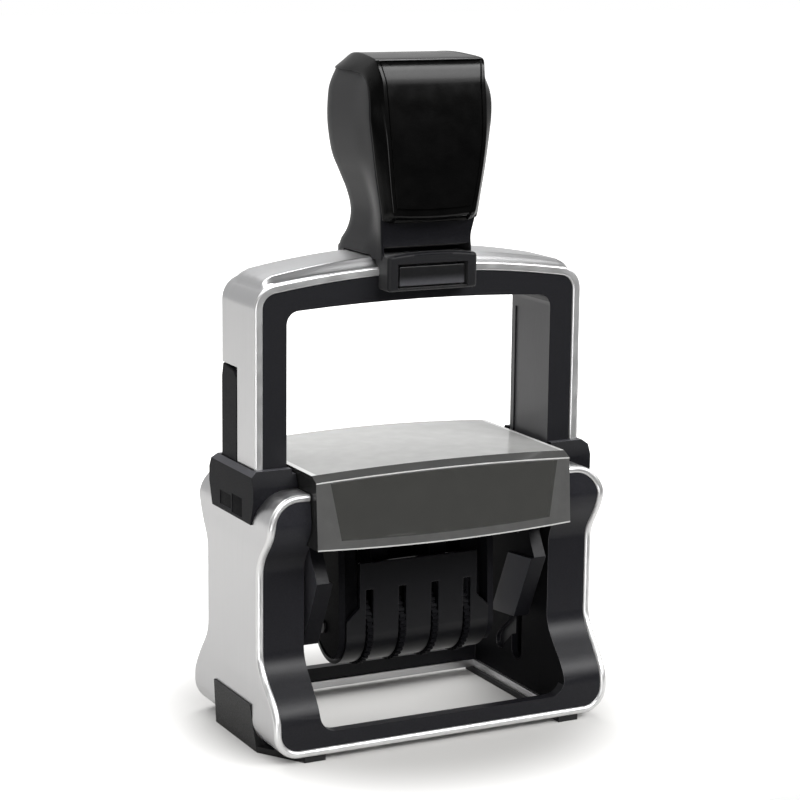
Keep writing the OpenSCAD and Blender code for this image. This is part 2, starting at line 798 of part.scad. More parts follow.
module bail_outer() polygon(arch(leg_x1, bail_r, bail_top, arch_r, leg_z));

module bail_inner() polygon(arch(leg_x1 - skin_t, bail_r - skin_t, bail_top - skin_t, arch_r - skin_t, 0));

module bail_ridge() {
    span_x = leg_x1 - bail_r;
    end_x = leg_x1 - 0.35 * bail_r;
    side_z = bail_top - arch_r + sqrt(pow(arch_r - bail_r, 2) - pow(span_x, 2));
    end_z = side_z + sqrt(pow(bail_r, 2) - pow(end_x - span_x, 2));
    a = asin(span_x / ridge_r);
    polygon(concat(arc([0, bail_top + ridge_h - ridge_r], ridge_r, 90 - a, 90 + a),
                   [[-end_x, end_z], [-span_x, side_z], [span_x, side_z], [end_x, end_z]]));
}

// The room the bail takes up, for what straddles it
module bail_envelope() {
    along_y(-bail_d / 2, bail_d / 2) bail_outer();
    along_y(-ridge_d / 2, ridge_d / 2) bail_ridge();
}

module guide_side(gap) {
    y = bail_d / 2;
    z = guide_top + gap;
    f = guide_off - gap;
    c = guide_cut;
    polygon([[-f, leg_z - gap], [-y, leg_z - gap], [-y, z - 1.6 * c], [0.4 * c - y, z],
             [-f - 0.85 * c, z - 0.5 * c], [-f, z - 1.2 * c]]);
}

module bail_band() {
    color("silver")
    difference() {
        union() {
            along_y(-bail_d / 2, bail_d / 2) difference() {
                bail_outer();
                bail_inner();
            }
            difference() {
                along_y(-ridge_d / 2, ridge_d / 2) bail_ridge();
                along_y(-far, far) bail_inner();
            }
        }
        guide_pockets();
        lock_hole();
    }
}

module guide_pockets() {
    for (s = [0, 180])
        rotate([0, 0, s]) along_x(guide_x - guide_t - inlay_gap, far) guide_side(inlay_gap);
}

// The room the lock needs at both ends of its travel
module lock_hole() {
    depth = lock_face - lock_t - lock_travel - slide_gap;
    x = lock_x + slide_gap;
    box(-lock_bar_w / 2 - slide_gap, lock_bar_w / 2 + slide_gap, -far, far,
        lock_z - slide_gap, lock_z + lock_bar_h + slide_gap);
    for (s = [0, 180])
        rotate([0, 0, s]) box(-x, x, -far, -depth, lock_z - slide_gap, lock_z + lock_h + slide_gap);
}

module bail_liner() {
    y = bail_d / 2 - liner_inset;
    panel_y = y - leg_border;
    panel_top = bail_window_z - 2 * bail_window_r;
    color([0.12, 0.12, 0.13])
    difference() {
        along_y(-y, y) difference() {
            intersection() {
                bail_inner();
                translate([-far, leg_z]) square(2 * far);
            }
            polygon(arch(leg_x0, bail_window_r, bail_window_z, arch_r * 2, 0));
        }
        pair() along_x(0, leg_x0 + leg_panel)
            polygon([[-panel_y, collar_z0], [panel_y, collar_z0],
                     [panel_y, panel_top], [-panel_y, panel_top]]);
        for (s = [-1, 1])
            translate([s * bore_x, -s * spring_y, 0]) cylinder(r = spring_r + track_gap, h = spring_top);
        pair() rod_x(pin_r + run_gap, 0, bore_x, 0, pivot_z);
        guide_pockets();
        lock_hole();
    }
}

module guide() {
    color([0.1, 0.1, 0.11])
    along_x(guide_x - guide_t, guide_x) guide_side(0);
}

module right_guide() guide();

module left_guide() half_turn() guide();

// Half width of the grip against height, from the saddle to the top
function grip_edge() =
    let (n = neck_w / 2, s = (grip_w - neck_w) / 2, z = saddle_z1, h = core_top - saddle_z1)
    curve([[saddle_w / 2, z], [n + 0.13 * s, z + 0.093 * h], [n, z + 0.207 * h],
           [n + 0.36 * s, z + 0.393 * h], [n + 0.76 * s, z + 0.509 * h], [n + s, z + 0.723 * h],
           [n + 0.89 * s, z + 0.897 * h], [n + 0.71 * s, core_top]]);

// Half width of the cap's rim against height
function cap_side() =
    let (n = cap_low_w / 2, w = cap_w / 2, h = core_top - cap_z0)
    curve([[n, cap_z0], [n + (w - n) * 0.62, cap_z0 + 0.425 * h], [0.99 * w, cap_z0 + 0.772 * h],
           [0.985 * w, cap_z0 + 0.894 * h], [0.88 * w, core_top + 0.125 * cap_top_t],
           [0.753 * w, grip_top - 0.275 * cap_top_t], [0.384 * w, grip_top]]);

// Half depth of the cap against height
function cap_edge() =
    let (d = cap_d / 2, s = d - lip_y, h = core_top - cap_z0)
    curve([[lip_y + 0.15 * s, cap_z0], [lip_y + 0.77 * s, cap_z0 + 0.066 * h],
           [lip_y + 0.86 * s, cap_z0 + 0.225 * h], [lip_y + 0.96 * s, cap_z0 + 0.5 * h],
           [lip_y + 0.82 * s, cap_z0 + 0.7 * h], [lip_y + 0.54 * s, cap_z0 + 0.894 * h],
           [lip_y + 0.31 * s, core_top + 0.125 * cap_top_t],
           [0.79 * lip_y, grip_top - 0.225 * cap_top_t], [0.18 * lip_y, grip_top]]);

module grip_front() polygon(concat(grip_edge(), mirrored(grip_edge())));

module cap_front() polygon(concat(cap_side(), mirrored(cap_side())));

// Extrudes a front outline to the rear from y0 to y1, while its width changes by a factor
module drawn_y(y0, y1, factor) {
    rotate([0, 0, 180])
    translate([0, -y0, 0])
    rotate([90, 0, 0])
    linear_extrude(y1 - y0, scale = [factor, 1], slices = 1) children();
}

// Outer form of the cap: straight sides, then a face that tapers towards the front
// Side outline of the cap
module cap_outline() polygon(concat(cap_edge(), mirrored(cap_edge())));

module cap_form() {
    wall_y = lip_y + cap_wall;
    intersection() {
        union() {
            along_y(-wall_y, lip_y) cap_front();
            rotate([0, 0, 180]) drawn_y(wall_y, cap_d / 2, cap_taper) cap_front();
            drawn_y(lip_y, cap_d / 2, cap_taper) cap_front();
        }
        along_x(-far, far) cap_outline();
    }
}

// Front outline of the panel
module panel_front(gap) {
    r = (pow(cap_low_w / 2, 2) + pow(panel_dip, 2)) / (2 * panel_dip);
    rim = [for (p = cap_side()) [p[0] * cap_taper - panel_border + gap, p[1]]];
    intersection() {
        polygon(concat(rim, mirrored(rim)));
        translate([-far, 0]) square([2 * far, core_top - panel_high + gap]);
        translate([0, cap_z0 + panel_low - panel_dip + r - gap]) circle(r, $fn = 180);
    }
}

// Front outline of the sides where they meet the cap
module flare_front() {
    rim = concat([[saddle_w / 2, saddle_z1], [saddle_w / 2, cap_z0 - lip_step]], cap_side());
    polygon(concat(rim, mirrored(rim)));
}

module soft_sides() {
    intersection() {
        union() {
            along_y(-lip_y, back_start) grip_front();
            drawn_y(-lip_y, flare_in - lip_y, flare_taper) flare_front();
            drawn_y(back_start, back_y, back_taper) grip_front();
        }
        box(-far, far, -far, far, saddle_z1, core_top);
    }
}

module grip_core() {
    throat = lip_y - neck_hollow;
    shoulder = saddle_z1 - saddle_bevel_h;
    h = core_top - cap_z0;
    neck = concat(blend([lip_y, shoulder], [throat, cap_z0 - lip_step]), [[lip_y, cap_z0], [lip_y, far]]);
    back = concat([[lip_y, shoulder]], blend([lip_y + 0.6, saddle_z1], [back_neck, cap_z0]),
                  blend([back_neck, cap_z0 + 0.06 * h], [back_y, cap_z0 + 0.45 * h]),
                  [[back_y, cap_z0 + 0.8 * h], [back_y - 1, core_top], [back_y - 1, far]]);
    saddle = [[saddle_y, saddle_z0], [saddle_y, shoulder], [saddle_y - saddle_bevel, saddle_z1]];
    color([0.2, 0.2, 0.21]) {
        intersection() {
            soft_sides();
            along_x(-far, far) polygon(concat(back, mirrored(neck)));
        }
        difference() {
            along_x(-saddle_w / 2, saddle_w / 2) polygon(concat(saddle, mirrored(saddle)));
            bail_envelope();
            lock_hole();
            pair() translate([0, 0, saddle_z0 - 1]) linear_extrude(far)
                polygon([[saddle_w / 2 - saddle_cut - 1, saddle_y + 1],
                         [saddle_w / 2 + 1, saddle_y - saddle_cut - 1],
                         [far, saddle_y - saddle_cut - 1], [far, saddle_y + 1]]);
        }
    }
}

module grip_cap() {
    color([0.05, 0.05, 0.06])
    difference() {
        cap_form();
        soft_sides();
        difference() {
            along_y(-far, 0) panel_front(inlay_gap);
            along_x(-far, far) translate([panel_t, 0]) cap_outline();
        }
        box(-far, far, -lip_y, far, 0, core_top);
    }
}

module front_panel() {
    color([0.04, 0.04, 0.05])
    intersection() {
        along_y(-far, -lip_y) panel_front(0);
        along_x(-far, far) difference() {
            cap_outline();
            translate([panel_t, 0]) cap_outline();
        }
    }
}

module lock_bar() {
    color([0.1, 0.1, 0.11]) {
        for (s = [0, 180]) rotate([0, 0, s])
            box(-lock_x, lock_x, -lock_face, lock_t - lock_face, lock_z, lock_z + lock_h);
        box(-lock_bar_w / 2, lock_bar_w / 2, lock_t - lock_face, lock_face - lock_t,
            lock_z, lock_z + lock_bar_h);
    }
}

module pivot_pin() {
    color([0.7, 0.7, 0.72])
    rod_x(pin_r, arm_x0, bore_x - inlay_gap, 0, pivot_z);
}

module right_pivot_pin() pivot_pin();

module left_pivot_pin() half_turn() pivot_pin();

// One unbroken helical tube, swept ring by ring
spring_rings = 8;
spring_sides = 6;
spring_foot = leg_floor_z + wire_r + seat_gap;
spring_head = spring_top - wire_r - seat_gap;
spring_pitch = (spring_head - spring_foot) / spring_turns;
coil_r = spring_r - wire_r;
climb = atan2(spring_pitch, 2 * PI * coil_r);

function coil_ring(i) =
    let (a = 360 * i / spring_rings,
         c = [coil_r * cos(a), coil_r * sin(a), spring_foot + spring_pitch * i / spring_rings])
    [for (k = [0:spring_sides - 1])
        let (b = 360 * k / spring_sides)
        c + wire_r * (cos(b) * [cos(a), sin(a), 0]
                      + sin(b) * [sin(climb) * sin(a), -sin(climb) * cos(a), cos(climb)])];

echo(spring_least_gap = spring_pitch * cos(climb) - 2 * wire_r);

module coil_spring() {
    n = spring_turns * spring_rings;
    s = spring_sides;
    pts = [for (i = [0:n]) each coil_ring(i)];
    walls = [for (i = [0:n - 1], k = [0:s - 1])
        let (a = i * s + k, b = i * s + (k + 1) % s)
        each [[a, b, b + s], [a, b + s, a + s]]];
    caps = [for (k = [1:s - 2]) each [[0, k + 1, k], [n * s, n * s + k, n * s + k + 1]]];
    color([0.75, 0.75, 0.76])
    polyhedron(pts, concat([for (f = walls) [f[0], f[2], f[1]]], [for (f = caps) [f[0], f[2], f[1]]]));
}

module right_spring() translate([bore_x, -spring_y, 0]) coil_spring();

module left_spring() half_turn() right_spring();

module date_window(rim)
    box(-date_window_x - rim, date_window_x + rim, -date_window_y - rim, date_window_y + rim, 0, far);

// The bridge under the die plate, with two arms that lean forward from their tails
// and carry a raised pad inside
module carrier_frame() {
    tail_z = wheel_z - arm_tail;
    front = cam_r + arm_cheek;
    rear = pin_r + arm_cheek;
    pad_z1 = tail_z + arm_pad_h;
    root_z = (bridge_z0 + bridge_z) / 2;
    lean = [[arm_back, tail_z], [arm_back - arm_w, tail_z + arm_tail / 2],
            [arm_back - arm_w - arm_lean, pad_z1 + arm_tail / 2], [arm_back - arm_lean, pad_z1]];
    bridge_d = die_d / 2 - carrier_in;
    color([0.14, 0.14, 0.15])
    difference() {
        union() {
            box(-arm_x1, arm_x1, -bridge_d, bridge_d, bridge_z0, bridge_z);
            pair() {
                along_x(arm_x0, arm_x1)
                    polygon([[-front, root_z], [rear, root_z], [rear, pivot_z - rear],
                             lean[0], lean[1], lean[2], [-front - arm_tail, pivot_z]]);
                along_x(arm_x0 - arm_pad, (arm_x0 + arm_x1) / 2) polygon(lean);
            }
        }
        date_window(0);
        pair() rod_x(pin_r + run_gap, 0, far, 0, pivot_z);
        pair() rod_x(cam_pin_r, 0, far, -cam_r, pivot_z);
    }
}

module cam_pin() {
    color([0.7, 0.7, 0.72])
    rod_x(cam_pin_r, arm_x0, in_x + track_depth - slide_gap, -cam_r, pivot_z);
}

module right_cam_pin() cam_pin();

module left_cam_pin() mirror([1, 0, 0]) cam_pin();

module text_plate() {
    x = die_x + 2 * plate_rim;
    y = die_d / 2 + plate_rim;
    color([0.2, 0.2, 0.22])
    difference() {
        box(-x, x, -y, y, bridge_z, plate_z);
        date_window(0);
    }
}

module text_die() {
    x = die_x - die_line;
    y = die_d / 2 - die_line;
    color([0.45, 0.2, 0.18])
    difference() {
        box(-die_x, die_x, -die_d / 2, die_d / 2, plate_z, print_z);
        difference() {
            box(-x, x, -y, y, print_z - die_hollow, far);
            date_window(die_line);
        }
        date_window(0);
    }
}

// A plate rolled round the shaft at its lower edge, narrower above, with one slot for each wheel
module date_cover() {
    slot = rim_w + 2 * track_gap;
    upper = cover_w / 2;
    flare_top = wheel_z + cover_flare;
    color([0.1, 0.1, 0.11])
    difference() {
        along_x(-end_x, end_x) difference() {
            union() {
                translate([0, wheel_z]) circle(cover_r);
                translate([-cover_r, wheel_z]) square([2 * cover_r, cover_rise]);
            }
            translate([0, wheel_z]) circle(cover_r - cover_t);
            translate([cover_t - cover_r, wheel_z]) square([2 * (cover_r - cover_t), far]);
        }
        pair() along_y(-far, far)
            polygon([[upper, far], [upper, flare_top], [end_x + cover_t, flare_top - cover_flare_h],
                     [far, far]]);
        for (c = wheel_x)
            box(c - slot / 2, c + slot / 2, -far, far, 0, wheel_z + slot_rise);
    }
}

module end_plate() {
    r = cover_r - end_back;
    neck = nose_r + inlay_gap;
    top = print_z - end_back;
    half = [[r, wheel_z], [r - end_draw, bridge_z0], [neck, bridge_z0], [neck, top]];
    low_z = wheel_z - end_low;
    color([0.12, 0.12, 0.13])
    difference() {
        along_x(end_x, end_x + end_t) union() {
            translate([0, wheel_z]) circle(r);
            polygon(concat(half, mirrored(half)));
        }
        along_x(0, far)
            polygon([[-far, -far], [r, -far], [r, low_z + (r + 3) * end_slope], [-3, low_z], [-far, low_z]]);
        rod_x(shaft_r, 0, far, 0, wheel_z);
        rod_x(nose_bar_r, 0, far, 0, nose_z);
    }
}

module right_end_plate() end_plate();

module left_end_plate() mirror([1, 0, 0]) end_plate();

module wheel_shaft() {
    color([0.7, 0.7, 0.72])
    rod_x(shaft_r, -end_x - end_t - shaft_end, end_x + end_t + shaft_end, 0, wheel_z);
}

module shaft_sleeve() {
    x = wheel_step / 2 - rim_w / 2 - slide_gap;
    color([0.2, 0.2, 0.21])
    difference() {
        rod_x(shaft_r + sleeve_wall, -x, x, 0, wheel_z);
        rod_x(shaft_r, -far, far, 0, wheel_z);
    }
}

module print_bar() {
    color([0.7, 0.7, 0.72])
    rod_x(nose_bar_r, -end_x - end_t, end_x + end_t, 0, nose_z);
}

// Side outline of a date band: a loop from the hub up to its nose
module date_loop(low_r, top_r) {
    a = asin((low_r - top_r) / (nose_z - wheel_z));
    polygon(concat(arc([0, wheel_z], low_r, 180 - a, 360 + a), arc([0, nose_z], top_r, a, 180 - a)));
}

module date_band(i) {
    c = wheel_x[i] + hub_side[i] * date_band_x;
    color([0.55, 0.22, 0.18])
    along_x(c - date_band_w / 2, c + date_band_w / 2) difference() {
        date_loop(band_hub_r, nose_r);
        date_loop(band_hub_r - date_band_t, nose_r - date_band_t);
    }
}

module day_tens_band() date_band(0);

module day_units_band() date_band(1);

module month_band() date_band(2);

module year_band() date_band(3);

module setting_wheel(i) {
    tooth_r = PI * wheel_r / wheel_teeth / 2;
    color([0.13, 0.13, 0.14])
    difference() {
        union() {
            rod_x(wheel_r, wheel_x[i] - rim_w / 2, wheel_x[i] + rim_w / 2, 0, wheel_z);
            if (hub_side[i] > 0) rod_x(hub_r, wheel_x[i], wheel_x[i] + rim_w / 2 + hub_w, 0, wheel_z);
            else rod_x(hub_r, wheel_x[i] - rim_w / 2 - hub_w, wheel_x[i], 0, wheel_z);
        }
        rod_x(shaft_r + run_gap, -far, far, 0, wheel_z);
        for (k = [1:wheel_teeth])
            translate([0, 0, wheel_z]) rotate([360 * k / wheel_teeth, 0, 0])
                rod_x(tooth_r, wheel_x[i] - rim_w, wheel_x[i] + rim_w, 0, wheel_r);
    }
}

module day_tens_wheel() setting_wheel(0);

module day_units_wheel() setting_wheel(1);

module month_wheel() setting_wheel(2);

module year_wheel() setting_wheel(3);

base_band();
base_frame();
left_foot();
right_foot();
left_collar();
right_collar();
hood();
index_card();
pad_bridge();
ink_tray();
ink_pad();
bail_band();
bail_liner();
left_guide();
right_guide();
grip_core();
grip_cap();
front_panel();
lock_bar();
left_pivot_pin();
right_pivot_pin();
left_spring();
right_spring();
carrier_frame();
text_plate();
text_die();
date_cover();
left_end_plate();
right_end_plate();
wheel_shaft();
shaft_sleeve();
print_bar();
left_cam_pin();
right_cam_pin();
day_tens_band();
day_units_band();
month_band();
year_band();
day_tens_wheel();
day_units_wheel();
month_wheel();
year_wheel();
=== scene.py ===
# %% [markdown]
# # A self inking date stamp, dressed for its picture
# The CAD model already gives every piece its size and its place. This script loads that model as a fixed
# frame and gives each piece the edges, the curves and the finish that the real one has. Sizes are written in
# millimetres and become Blender's metres in one place.

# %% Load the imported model
import json
import math

import bmesh
import bpy
from mathutils import Matrix, Vector


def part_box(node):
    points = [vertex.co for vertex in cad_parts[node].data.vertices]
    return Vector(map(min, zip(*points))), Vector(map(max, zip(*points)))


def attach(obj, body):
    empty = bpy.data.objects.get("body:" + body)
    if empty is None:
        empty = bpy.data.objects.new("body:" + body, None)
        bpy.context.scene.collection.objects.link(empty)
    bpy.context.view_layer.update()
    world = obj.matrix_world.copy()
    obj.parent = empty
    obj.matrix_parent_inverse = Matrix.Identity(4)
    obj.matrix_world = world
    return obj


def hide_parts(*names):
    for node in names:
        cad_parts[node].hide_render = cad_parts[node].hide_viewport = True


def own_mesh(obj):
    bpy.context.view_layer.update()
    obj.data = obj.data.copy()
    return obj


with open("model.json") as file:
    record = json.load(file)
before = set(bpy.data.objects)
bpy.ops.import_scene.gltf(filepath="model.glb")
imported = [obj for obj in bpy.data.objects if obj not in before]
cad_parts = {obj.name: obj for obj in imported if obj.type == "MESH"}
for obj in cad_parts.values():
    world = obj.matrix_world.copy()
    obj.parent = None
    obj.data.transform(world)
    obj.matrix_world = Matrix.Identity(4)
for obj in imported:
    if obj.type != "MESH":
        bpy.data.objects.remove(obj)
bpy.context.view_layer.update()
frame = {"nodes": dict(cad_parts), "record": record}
nodes = frame["nodes"]
MM = 0.001

# %% [markdown]
# ## The camera
# The photographer stood a little to the left and a little above. The angles, the distance and the focal
# length were worked out from edges that must be level or symmetric, so the render can be laid over the photo.
# A camera's matrix has its right, up and backward directions as columns, and the small roll turns the first
# two.

# %% Place the camera
AZIMUTH, ELEVATION, ROLL = (math.radians(a) for a in (-27.11, 11.24, 0.62))
DISTANCE = 551.56 * MM
TARGET = Vector((-0.84, 0, 75.12)) * MM
backward = Vector((math.sin(AZIMUTH) * math.cos(ELEVATION), -math.cos(AZIMUTH) * math.cos(ELEVATION),
                   math.sin(ELEVATION)))
level_right = Vector((0, 0, 1)).cross(backward).normalized()
level_up = backward.cross(level_right)
right = math.cos(ROLL) * level_right + math.sin(ROLL) * level_up
up = math.cos(ROLL) * level_up - math.sin(ROLL) * level_right
camera = bpy.data.objects.new("camera", bpy.data.cameras.new("camera"))
camera.data.sensor_width = 36
camera.data.lens = 107.94
camera.data.clip_start, camera.data.clip_end = 0.01, 50
camera.matrix_world = Matrix((right, up, backward)).transposed().to_4x4()
camera.location = TARGET + backward * DISTANCE
bpy.context.collection.objects.link(camera)
bpy.context.scene.camera = camera
print("camera at", [round(c / MM) for c in camera.location], "mm")

# %% [markdown]
# ## A white studio
# The photo has no horizon: the floor runs into a white background. So the world is white for the camera, and
# an even soft grey where it only lights things. In reflections it is light behind the stamp and dark overhead
# and towards the photographer, as in a real studio, so glossy black stays black from the front.


# %% Make the world
def link(tree, source, target):
    """Links an output of one node to an input of another."""
    tree.links.new(source, target)


def new_node(tree, kind, **values):
    """A node of this kind with some of its settings."""
    made = tree.nodes.new(kind)
    for key, value in values.items():
        setattr(made, key, value)
    return made


def feed(tree, sockets, values):
    """Sets each socket to a number, or links it to another node's output."""
    for socket, value in zip(sockets, values):
        if isinstance(value, (int, float)):
            socket.default_value = value
        else:
            link(tree, value, socket)


def maths(tree, operation, *values):
    made = new_node(tree, "ShaderNodeMath", operation=operation)
    feed(tree, made.inputs, values)
    return made.outputs[0]


def fade(tree, source, low, high, at_low, at_high):
    """A smooth change from one value to another while the source goes from low to high."""
    made = new_node(tree, "ShaderNodeMapRange", interpolation_type="SMOOTHSTEP")
    for socket, value in (("From Min", low), ("From Max", high), ("To Min", at_low), ("To Max", at_high)):
        made.inputs[socket].default_value = value
    link(tree, source, made.inputs["Value"])
    return made.outputs[0]


ROOM_LIGHT, FRONT_MIRRORED, BACK_MIRRORED, HIGH_MIRRORED = 0.25, 0.01, 0.58, 0.2
# The directions between which the mirrored light changes.
FRONT_Y, BACK_Y, LEVEL_Z, STEEP_Z = -0.3, 0.45, 0.35, 0.75
world = bpy.data.worlds.new("studio")
bpy.context.scene.world = world
world.use_nodes = True
tree = world.node_tree
sky = tree.nodes["Background"]
sky.inputs["Color"].default_value = (1, 1, 1, 1)
direction = new_node(tree, "ShaderNodeTexCoord")
axes = new_node(tree, "ShaderNodeSeparateXYZ")
link(tree, direction.outputs["Generated"], axes.inputs[0])
path = new_node(tree, "ShaderNodeLightPath")
mirrored = maths(tree, "MAXIMUM", path.outputs["Is Glossy Ray"], path.outputs["Is Transmission Ray"])
room = new_node(tree, "ShaderNodeMix", data_type="FLOAT")
room.inputs["A"].default_value = ROOM_LIGHT
link(tree, mirrored, room.inputs["Factor"])
behind = fade(tree, axes.outputs["Y"], FRONT_Y, BACK_Y, FRONT_MIRRORED, BACK_MIRRORED)
low_down = fade(tree, axes.outputs["Z"], LEVEL_Z, STEEP_Z, 1.0, HIGH_MIRRORED)
link(tree, maths(tree, "MULTIPLY", behind, low_down), room.inputs["B"])
shown = new_node(tree, "ShaderNodeMix", data_type="FLOAT")
shown.inputs["B"].default_value = 1.0
link(tree, path.outputs["Is Camera Ray"], shown.inputs["Factor"])
link(tree, room.outputs["Result"], shown.inputs["A"])
link(tree, shown.outputs["Result"], sky.inputs["Strength"])
bpy.context.scene.view_settings.view_transform = "Standard"
print("world", world.name, "lights with", ROOM_LIGHT)

# %% [markdown]
# ## The floor
# The floor has to melt into the white world and still keep the shadow. So it is a grey surface that takes the
# shadow near the stamp, and further out it adds white of its own, for the camera and a little for
# reflections. It stops short in front, so that upright black faces do not mirror it.

# %% Lay the floor
FLOOR_LEFT, FLOOR_RIGHT, FLOOR_FRONT, FLOOR_BACK = -0.45, 3, -0.085, 4
SHADOW_ENDS, WHITE_STARTS, MIRRORED_WHITE = 0.033, 0.085, 0.2
floor_mesh = bpy.data.meshes.new("floor")
floor_mesh.from_pydata([(FLOOR_LEFT, FLOOR_FRONT, 0), (FLOOR_RIGHT, FLOOR_FRONT, 0),
                        (FLOOR_RIGHT, FLOOR_BACK, 0), (FLOOR_LEFT, FLOOR_BACK, 0)], [], [(0, 1, 2, 3)])
floor = bpy.data.objects.new("floor", floor_mesh)
bpy.context.collection.objects.link(floor)
paper = bpy.data.materials.new("white_floor")
paper.use_nodes = True
tree = paper.node_tree
base = tree.nodes["Principled BSDF"]
base.inputs["Base Color"].default_value = (0.5, 0.495, 0.485, 1)
base.inputs["Roughness"].default_value = 0.9
base.inputs["Specular IOR Level"].default_value = 0.1
base.inputs["Emission Color"].default_value = (1, 1, 1, 1)
where = new_node(tree, "ShaderNodeTexCoord")
reach = new_node(tree, "ShaderNodeVectorMath", operation="LENGTH")
link(tree, where.outputs["Object"], reach.inputs[0])
path = new_node(tree, "ShaderNodeLightPath")
seen = maths(tree, "MULTIPLY_ADD", path.outputs["Is Glossy Ray"], MIRRORED_WHITE,
             path.outputs["Is Camera Ray"])
outwards = fade(tree, reach.outputs["Value"], SHADOW_ENDS, WHITE_STARTS, 0.0, 1.0)
link(tree, maths(tree, "MULTIPLY", seen, outwards), base.inputs["Emission Strength"])
floor_mesh.materials.append(paper)
print(floor.name, "is white from", WHITE_STARTS, "m outwards")

# %% [markdown]
# ## Soft lamps
# Large soft boxes do the lighting: the main one high on the left, a weaker one on the right to open the
# shadows, and one behind and above that draws light edges along the top. Three long, narrow ones hang in
# front, one below the other and each weaker than the one above. They are there for the soft highlights on
# rounded edges more than for their light. A small card low at the front left only draws thin lines on black
# edges.


# %% Hang the lamps
def soft_box(name, place, aim, size, watts, light=1.0, shine=1.0):
    """An area lamp. Light and shine are its shares in plain lighting and in highlights."""
    lamp = bpy.data.objects.new(name, bpy.data.lights.new(name, "AREA"))
    lamp.data.shape = "RECTANGLE"
    lamp.data.size, lamp.data.size_y = size
    lamp.data.energy = watts
    lamp.data.diffuse_factor, lamp.data.specular_factor = light, shine
    lamp.location = place
    lamp.rotation_mode = "QUATERNION"
    lamp.rotation_quaternion = (Vector(aim) - Vector(place)).to_track_quat("-Z", "Y")
    bpy.context.collection.objects.link(lamp)
    print(name, watts, "W")


MIDDLE = (0, 0, 0.07)
soft_box("main_box", (-0.8, 0.1, 1.35), MIDDLE, (1.1, 0.9), 9)
soft_box("fill_box", (1.2, -0.3, 0.9), MIDDLE, (0.8, 0.8), 2.5)
soft_box("top_box", (0.1, 0.8, 1.4), MIDDLE, (1.4, 0.8), 20, shine=0.15)
FRONT_BOXES = {"front_high": ((0.46, -0.92, 0.94), 13), "front_middle": ((0.5, -1.0, 0.8), 8),
               "front_low": ((0.54, -1.08, 0.66), 3)}
for name, (place, watts) in FRONT_BOXES.items():
    soft_box(name, place, MIDDLE, (1.4, 0.17), watts, light=0.07)
soft_box("edge_card", (-0.36, -0.54, 0.005), (0, 0, 0.12), (0.3, 0.3), 1.4, light=0.0)

# %% [markdown]
# ## The finishes
# Every finish is one Principled shader. What is the same all over is set on the shader itself. What varies,
# such as the grain of moulded plastic or the hairlines of brushed metal, is a noise on Object coordinates
# that drives the roughness, a small change of colour and a small bump.


# %% Write the recipe of a finish
NOISE_LOW, NOISE_HIGH = 0.3, 0.7


def make_finish(name, settings, colours, grain, roughness, height, shade=None):
    """A Principled material. A noise with this grain (per metre along x, y, z) moves between the two
    colours and the two roughness values, and lifts the surface by the height in millimetres. A shade
    (low z, high z, times) makes the colour that many times lighter towards the top."""
    material = bpy.data.materials.new(name)
    material.use_nodes = True
    tree = material.node_tree
    shader = tree.nodes["Principled BSDF"]
    for socket, value in settings.items():
        shader.inputs[socket].default_value = value
    where = new_node(tree, "ShaderNodeTexCoord")
    stretch = new_node(tree, "ShaderNodeMapping")
    stretch.inputs["Scale"].default_value = grain
    noise = new_node(tree, "ShaderNodeTexNoise")
    noise.inputs["Scale"].default_value = 1
    noise.inputs["Detail"].default_value = 4
    link(tree, where.outputs["Object"], stretch.inputs["Vector"])
    link(tree, stretch.outputs[0], noise.inputs["Vector"])
    ramp = new_node(tree, "ShaderNodeValToRGB")
    for element, place, colour in zip(ramp.color_ramp.elements, (NOISE_LOW, NOISE_HIGH), colours):
        element.position, element.color = place, (*colour, 1)
    link(tree, noise.outputs["Fac"], ramp.inputs["Fac"])
    colour = ramp.outputs["Color"]
    if shade:
        axes = new_node(tree, "ShaderNodeSeparateXYZ")
        link(tree, where.outputs["Object"], axes.inputs[0])
        times = new_node(tree, "ShaderNodeVectorMath", operation="SCALE")
        link(tree, colour, times.inputs[0])
        low, high, lighter = shade
        link(tree, fade(tree, axes.outputs["Z"], low * MM, high * MM, 1, lighter), times.inputs["Scale"])
        colour = times.outputs[0]
    link(tree, colour, shader.inputs["Base Color"])
    rough = fade(tree, noise.outputs["Fac"], NOISE_LOW, NOISE_HIGH, *roughness)
    link(tree, rough, shader.inputs["Roughness"])
    bump = new_node(tree, "ShaderNodeBump")
    bump.inputs["Distance"].default_value = height * MM
    link(tree, noise.outputs["Fac"], bump.inputs["Height"])
    link(tree, bump.outputs[0], shader.inputs["Normal"])
    return material


def greys(low, high, blue=1.06):
    """Two greys with the same touch of blue."""
    return [(low, low, low * blue), (high, high, high * blue)]


print("a finish has a noise between", NOISE_LOW, "and", NOISE_HIGH)

# %% [markdown]
# ## Metal and plastics
# The bands are brushed metal: their noise is stretched into hairlines, and their rounded edges get a painted
# highlight. The black mouldings are all the same kind of plastic, and their copies differ by painted light
# and
# shade: deep inside the stamp a painted shade, a darker grey that hardly shines, and where the light falls a
# lighter grey with more shine. The frame grows lighter towards its top, which is painted light, and the lock
# grows darker towards its top.


# %% Mix metal and plastics
def plastic(name, shine, colours, grain, roughness, shade=None):
    """A moulded plastic with a fine, even grain."""
    return make_finish(name, {"Specular IOR Level": shine}, colours, (grain,) * 3, roughness, 0.006, shade)


